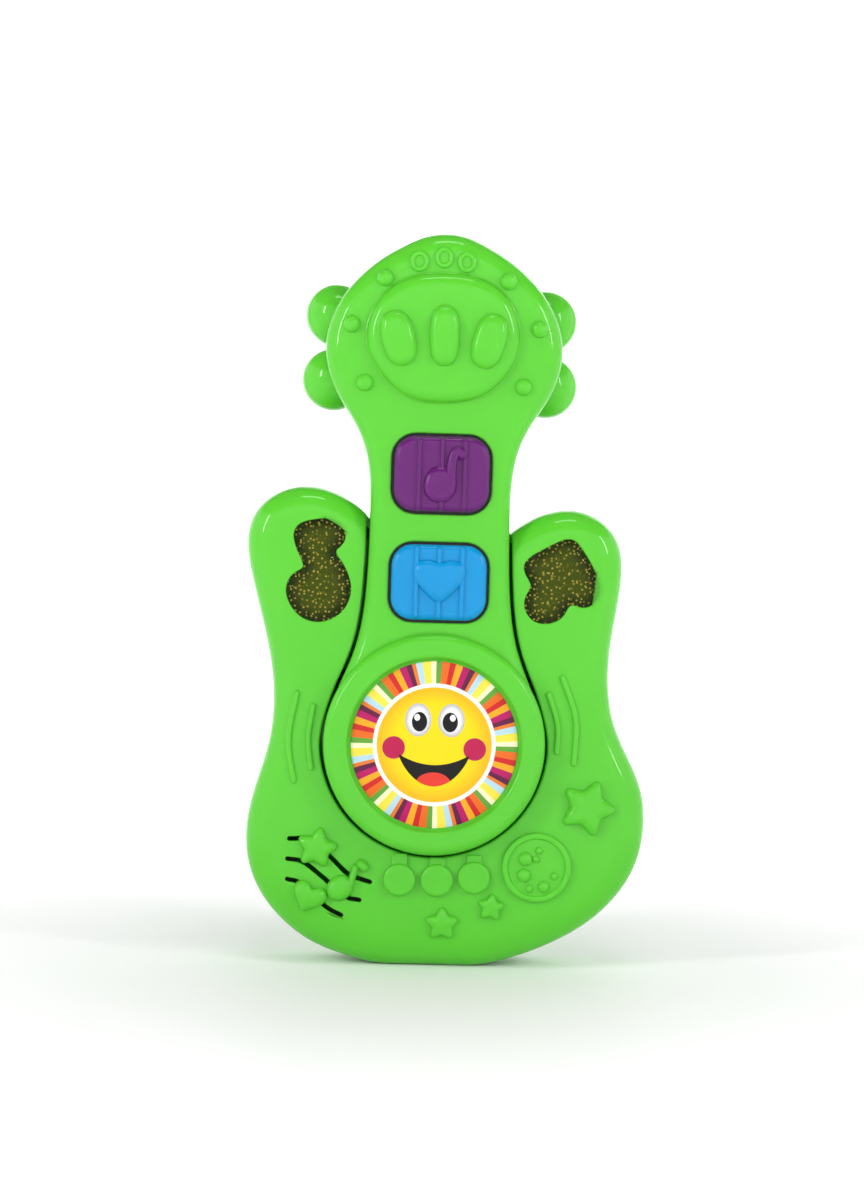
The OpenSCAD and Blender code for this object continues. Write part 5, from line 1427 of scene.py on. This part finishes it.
def make_stage(sizes, colours):
    """Pale bowl: a flat floor that turns up all round along a quarter circle, its profile turned about the
    middle. Its own glow grows with the distance from the toy, so that the floor at the foot still takes a
    shadow."""
    flat_r, bend_r, rim_z = 1.3, 0.9, 1.6
    profile = [(r, 0.0) for r in (0.0, 0.1, 0.25, 0.5, 0.8, flat_r)]
    profile += [(flat_r + bend_r * math.sin(b), bend_r - bend_r * math.cos(b)) for b in quarter(24)[1:]]
    profile.append((flat_r + bend_r, rim_z))
    a = np.arange(96) * 2 * np.pi / 96
    r, z = np.array(profile).T[:, :, None]
    form = Form()
    form.grid(np.stack([r * np.cos(a), r * np.sin(a), z + 0 * a], -1) * 1000, around=True)
    mesh = form.mesh("studio_bowl")
    mesh.polygons.foreach_set("use_smooth", np.ones(len(mesh.polygons), bool))
    material, tree, shader, add = nodes_of("studio_paper")
    shader.inputs["Base Color"].default_value = (*colours.floor, 1)
    shader.inputs["Roughness"].default_value = 0.6
    shader.inputs["Specular IOR Level"].default_value = 0.12
    shader.inputs["Emission Color"].default_value = (1, 1, 1, 1)
    at, away = add("ShaderNodeTexCoord"), add("ShaderNodeVectorMath", operation="LENGTH")
    glow = add("ShaderNodeMapRange", interpolation_type="SMOOTHSTEP")
    glow.inputs["From Min"].default_value = 0.05
    glow.inputs["From Max"].default_value = 0.5
    glow.inputs["To Max"].default_value = 0.62
    tree.links.new(at.outputs["Object"], away.inputs[0])
    tree.links.new(away.outputs["Value"], glow.inputs["Value"])
    tree.links.new(glow.outputs["Result"], shader.inputs["Emission Strength"])
    mesh.materials.append(material)
    bowl = bpy.data.objects.new("studio_bowl", mesh)
    bpy.context.scene.collection.objects.link(bowl)

    def lamp(name, at, aim, size, power):
        """Oblong area light at a place in metres, facing the aim."""
        light = bpy.data.lights.new(name, "AREA")
        light.shape, light.size, light.size_y, light.energy = "RECTANGLE", size[0], size[1], power
        holder = bpy.data.objects.new(name, light)
        bpy.context.scene.collection.objects.link(holder)
        holder.location = at
        holder.rotation_euler = (Vector(aim) - Vector(at)).to_track_quat("-Z", "Y").to_euler()

    lamp("overhead_softbox", (0.05, -0.35, 1.15), (0, 0, 0.1), (0.4, 0.15), 1.6)
    lamp("left_softbox", (-0.95, -0.75, 0.55), (0, 0, 0.12), (0.08, 0.5), 4.0)
    lamp("right_softbox", (0.95, -0.7, 0.6), (0, 0, 0.12), (0.08, 0.5), 2.8)
    lamp("front_fill", (0.1, -1.6, 0.6), (0, 0, 0.1), (0.9, 0.5), 0.3)
    lamp("rear_softbox", (0.3, 0.9, 0.9), (0, 0, 0.15), (0.9, 0.6), 2.2)
    world = bpy.context.scene.world or bpy.data.worlds.new("studio_air")
    bpy.context.scene.world = world
    world.use_nodes = True
    world.node_tree.nodes["Background"].inputs["Color"].default_value = (1, 1, 1, 1)
    world.node_tree.nodes["Background"].inputs["Strength"].default_value = 0.2
    bpy.context.scene.view_settings.view_transform = "Standard"

    azimuth, elevation, roll = math.radians(-2), math.radians(1), math.radians(1.6)
    back = Vector((math.sin(azimuth) * math.cos(elevation), -math.cos(azimuth) * math.cos(elevation),
                   math.sin(elevation)))
    camera = bpy.data.objects.new("camera", bpy.data.cameras.new("camera"))
    bpy.context.scene.collection.objects.link(camera)
    bpy.context.scene.camera = camera
    camera.data.sensor_fit, camera.data.sensor_width, camera.data.lens = "AUTO", 36.0, 82.3
    camera.data.clip_start, camera.data.clip_end = 0.05, 20.0
    right = (-back).cross(Vector((0, 0, 1))).normalized()
    up = right.cross(-back)
    side = math.cos(roll) * right + math.sin(roll) * up
    over = -math.sin(roll) * right + math.cos(roll) * up
    turn = Matrix((side, over, back)).transposed()
    camera.rotation_euler = turn.to_euler()
    camera.location = Vector((-0.0014, 0, 0.1228)) + 0.9 * back


# ---- add-on -----------------------------------------------------------------

def settings(context):
    """The sizes and colours that every maker takes."""
    return context.scene.toy_guitar_sizes, context.scene.toy_guitar_colours


class TOYGUITAR_OT_stage(Operator):
    """Make the pale bowl, the soft lights and the camera"""
    bl_idname = "toy_guitar.stage"
    bl_label = "Studio"

    def execute(self, context):
        make_stage(*settings(context))
        return {"FINISHED"}


class TOYGUITAR_OT_body_front(Operator):
    """Make the front half of the body with its badges and slots"""
    bl_idname = "toy_guitar.body_front"
    bl_label = "Body front"

    def execute(self, context):
        make_body_front(*settings(context))
        return {"FINISHED"}


class TOYGUITAR_OT_neck_front(Operator):
    """Make the neck, head and ring moulding"""
    bl_idname = "toy_guitar.neck_front"
    bl_label = "Neck and head"

    def execute(self, context):
        make_neck_front(*settings(context))
        return {"FINISHED"}


class TOYGUITAR_OT_back(Operator):
    """Make the back half with its bay, recesses and posts"""
    bl_idname = "toy_guitar.back"
    bl_label = "Back"

    def execute(self, context):
        make_back(*settings(context))
        return {"FINISHED"}


class TOYGUITAR_OT_door(Operator):
    """Make the door of the battery bay"""
    bl_idname = "toy_guitar.door"
    bl_label = "Battery door"

    def execute(self, context):
        make_door(*settings(context))
        return {"FINISHED"}


class TOYGUITAR_OT_screws(Operator):
    """Make the screws of the casing, boards and door"""
    bl_idname = "toy_guitar.screws"
    bl_label = "Screws"

    def execute(self, context):
        make_screws(*settings(context))
        return {"FINISHED"}


class TOYGUITAR_OT_keys(Operator):
    """Make the two press keys"""
    bl_idname = "toy_guitar.keys"
    bl_label = "Keys"

    def execute(self, context):
        make_keys(*settings(context))
        return {"FINISHED"}


class TOYGUITAR_OT_label(Operator):
    """Make the printed label in the ring"""
    bl_idname = "toy_guitar.label"
    bl_label = "Printed sun"

    def execute(self, context):
        make_label(*settings(context))
        return {"FINISHED"}


class TOYGUITAR_OT_windows(Operator):
    """Make the smoky windows and their glitter sheets"""
    bl_idname = "toy_guitar.windows"
    bl_label = "Windows"

    def execute(self, context):
        make_windows(*settings(context))
        return {"FINISHED"}


class TOYGUITAR_OT_cells(Operator):
    """Make the two battery cells"""
    bl_idname = "toy_guitar.cells"
    bl_label = "Cells"

    def execute(self, context):
        make_cells(*settings(context))
        return {"FINISHED"}


class TOYGUITAR_OT_switch_knob(Operator):
    """Make the knob of the power switch"""
    bl_idname = "toy_guitar.switch_knob"
    bl_label = "Switch knob"

    def execute(self, context):
        make_switch_knob(*settings(context))
        return {"FINISHED"}


class TOYGUITAR_OT_works(Operator):
    """Finish the boards, speaker, lamps, contacts and leads"""
    bl_idname = "toy_guitar.works"
    bl_label = "Works"

    def execute(self, context):
        finish_works(*settings(context))
        return {"FINISHED"}


STEPS = [TOYGUITAR_OT_stage, TOYGUITAR_OT_body_front, TOYGUITAR_OT_neck_front, TOYGUITAR_OT_back,
         TOYGUITAR_OT_door, TOYGUITAR_OT_screws, TOYGUITAR_OT_keys, TOYGUITAR_OT_label,
         TOYGUITAR_OT_windows, TOYGUITAR_OT_cells, TOYGUITAR_OT_switch_knob, TOYGUITAR_OT_works]


class TOYGUITAR_PT_pieces(Panel):
    """Buttons for every piece, and the sizes and colours they are made with"""
    bl_idname = "TOYGUITAR_PT_pieces"
    bl_label = "Toy Guitar"
    bl_space_type = "VIEW_3D"
    bl_region_type = "UI"
    bl_category = "Toy Guitar"

    def draw(self, context):
        for step in STEPS:
            self.layout.operator(step.bl_idname)
        for group in (context.scene.toy_guitar_sizes, context.scene.toy_guitar_colours):
            box = self.layout.box()
            for name in group.__annotations__:
                box.prop(group, name)


CLASSES = [ToyGuitarSizes, ToyGuitarColours, *STEPS, TOYGUITAR_PT_pieces]


def register():
    """Make the classes known to Blender and hang the sizes and colours on the scene."""
    for part in CLASSES:
        bpy.utils.register_class(part)
    bpy.types.Scene.toy_guitar_sizes = PointerProperty(type=ToyGuitarSizes)
    bpy.types.Scene.toy_guitar_colours = PointerProperty(type=ToyGuitarColours)


def unregister():
    """Undo register, in the opposite order."""
    del bpy.types.Scene.toy_guitar_colours
    del bpy.types.Scene.toy_guitar_sizes
    for part in reversed(CLASSES):
        bpy.utils.unregister_class(part)


def main():
    """Make every piece and the studio."""
    register()
    for step in STEPS:
        getattr(bpy.ops.toy_guitar, step.bl_idname.split(".")[1])()


if __name__ == "__main__":
    main()
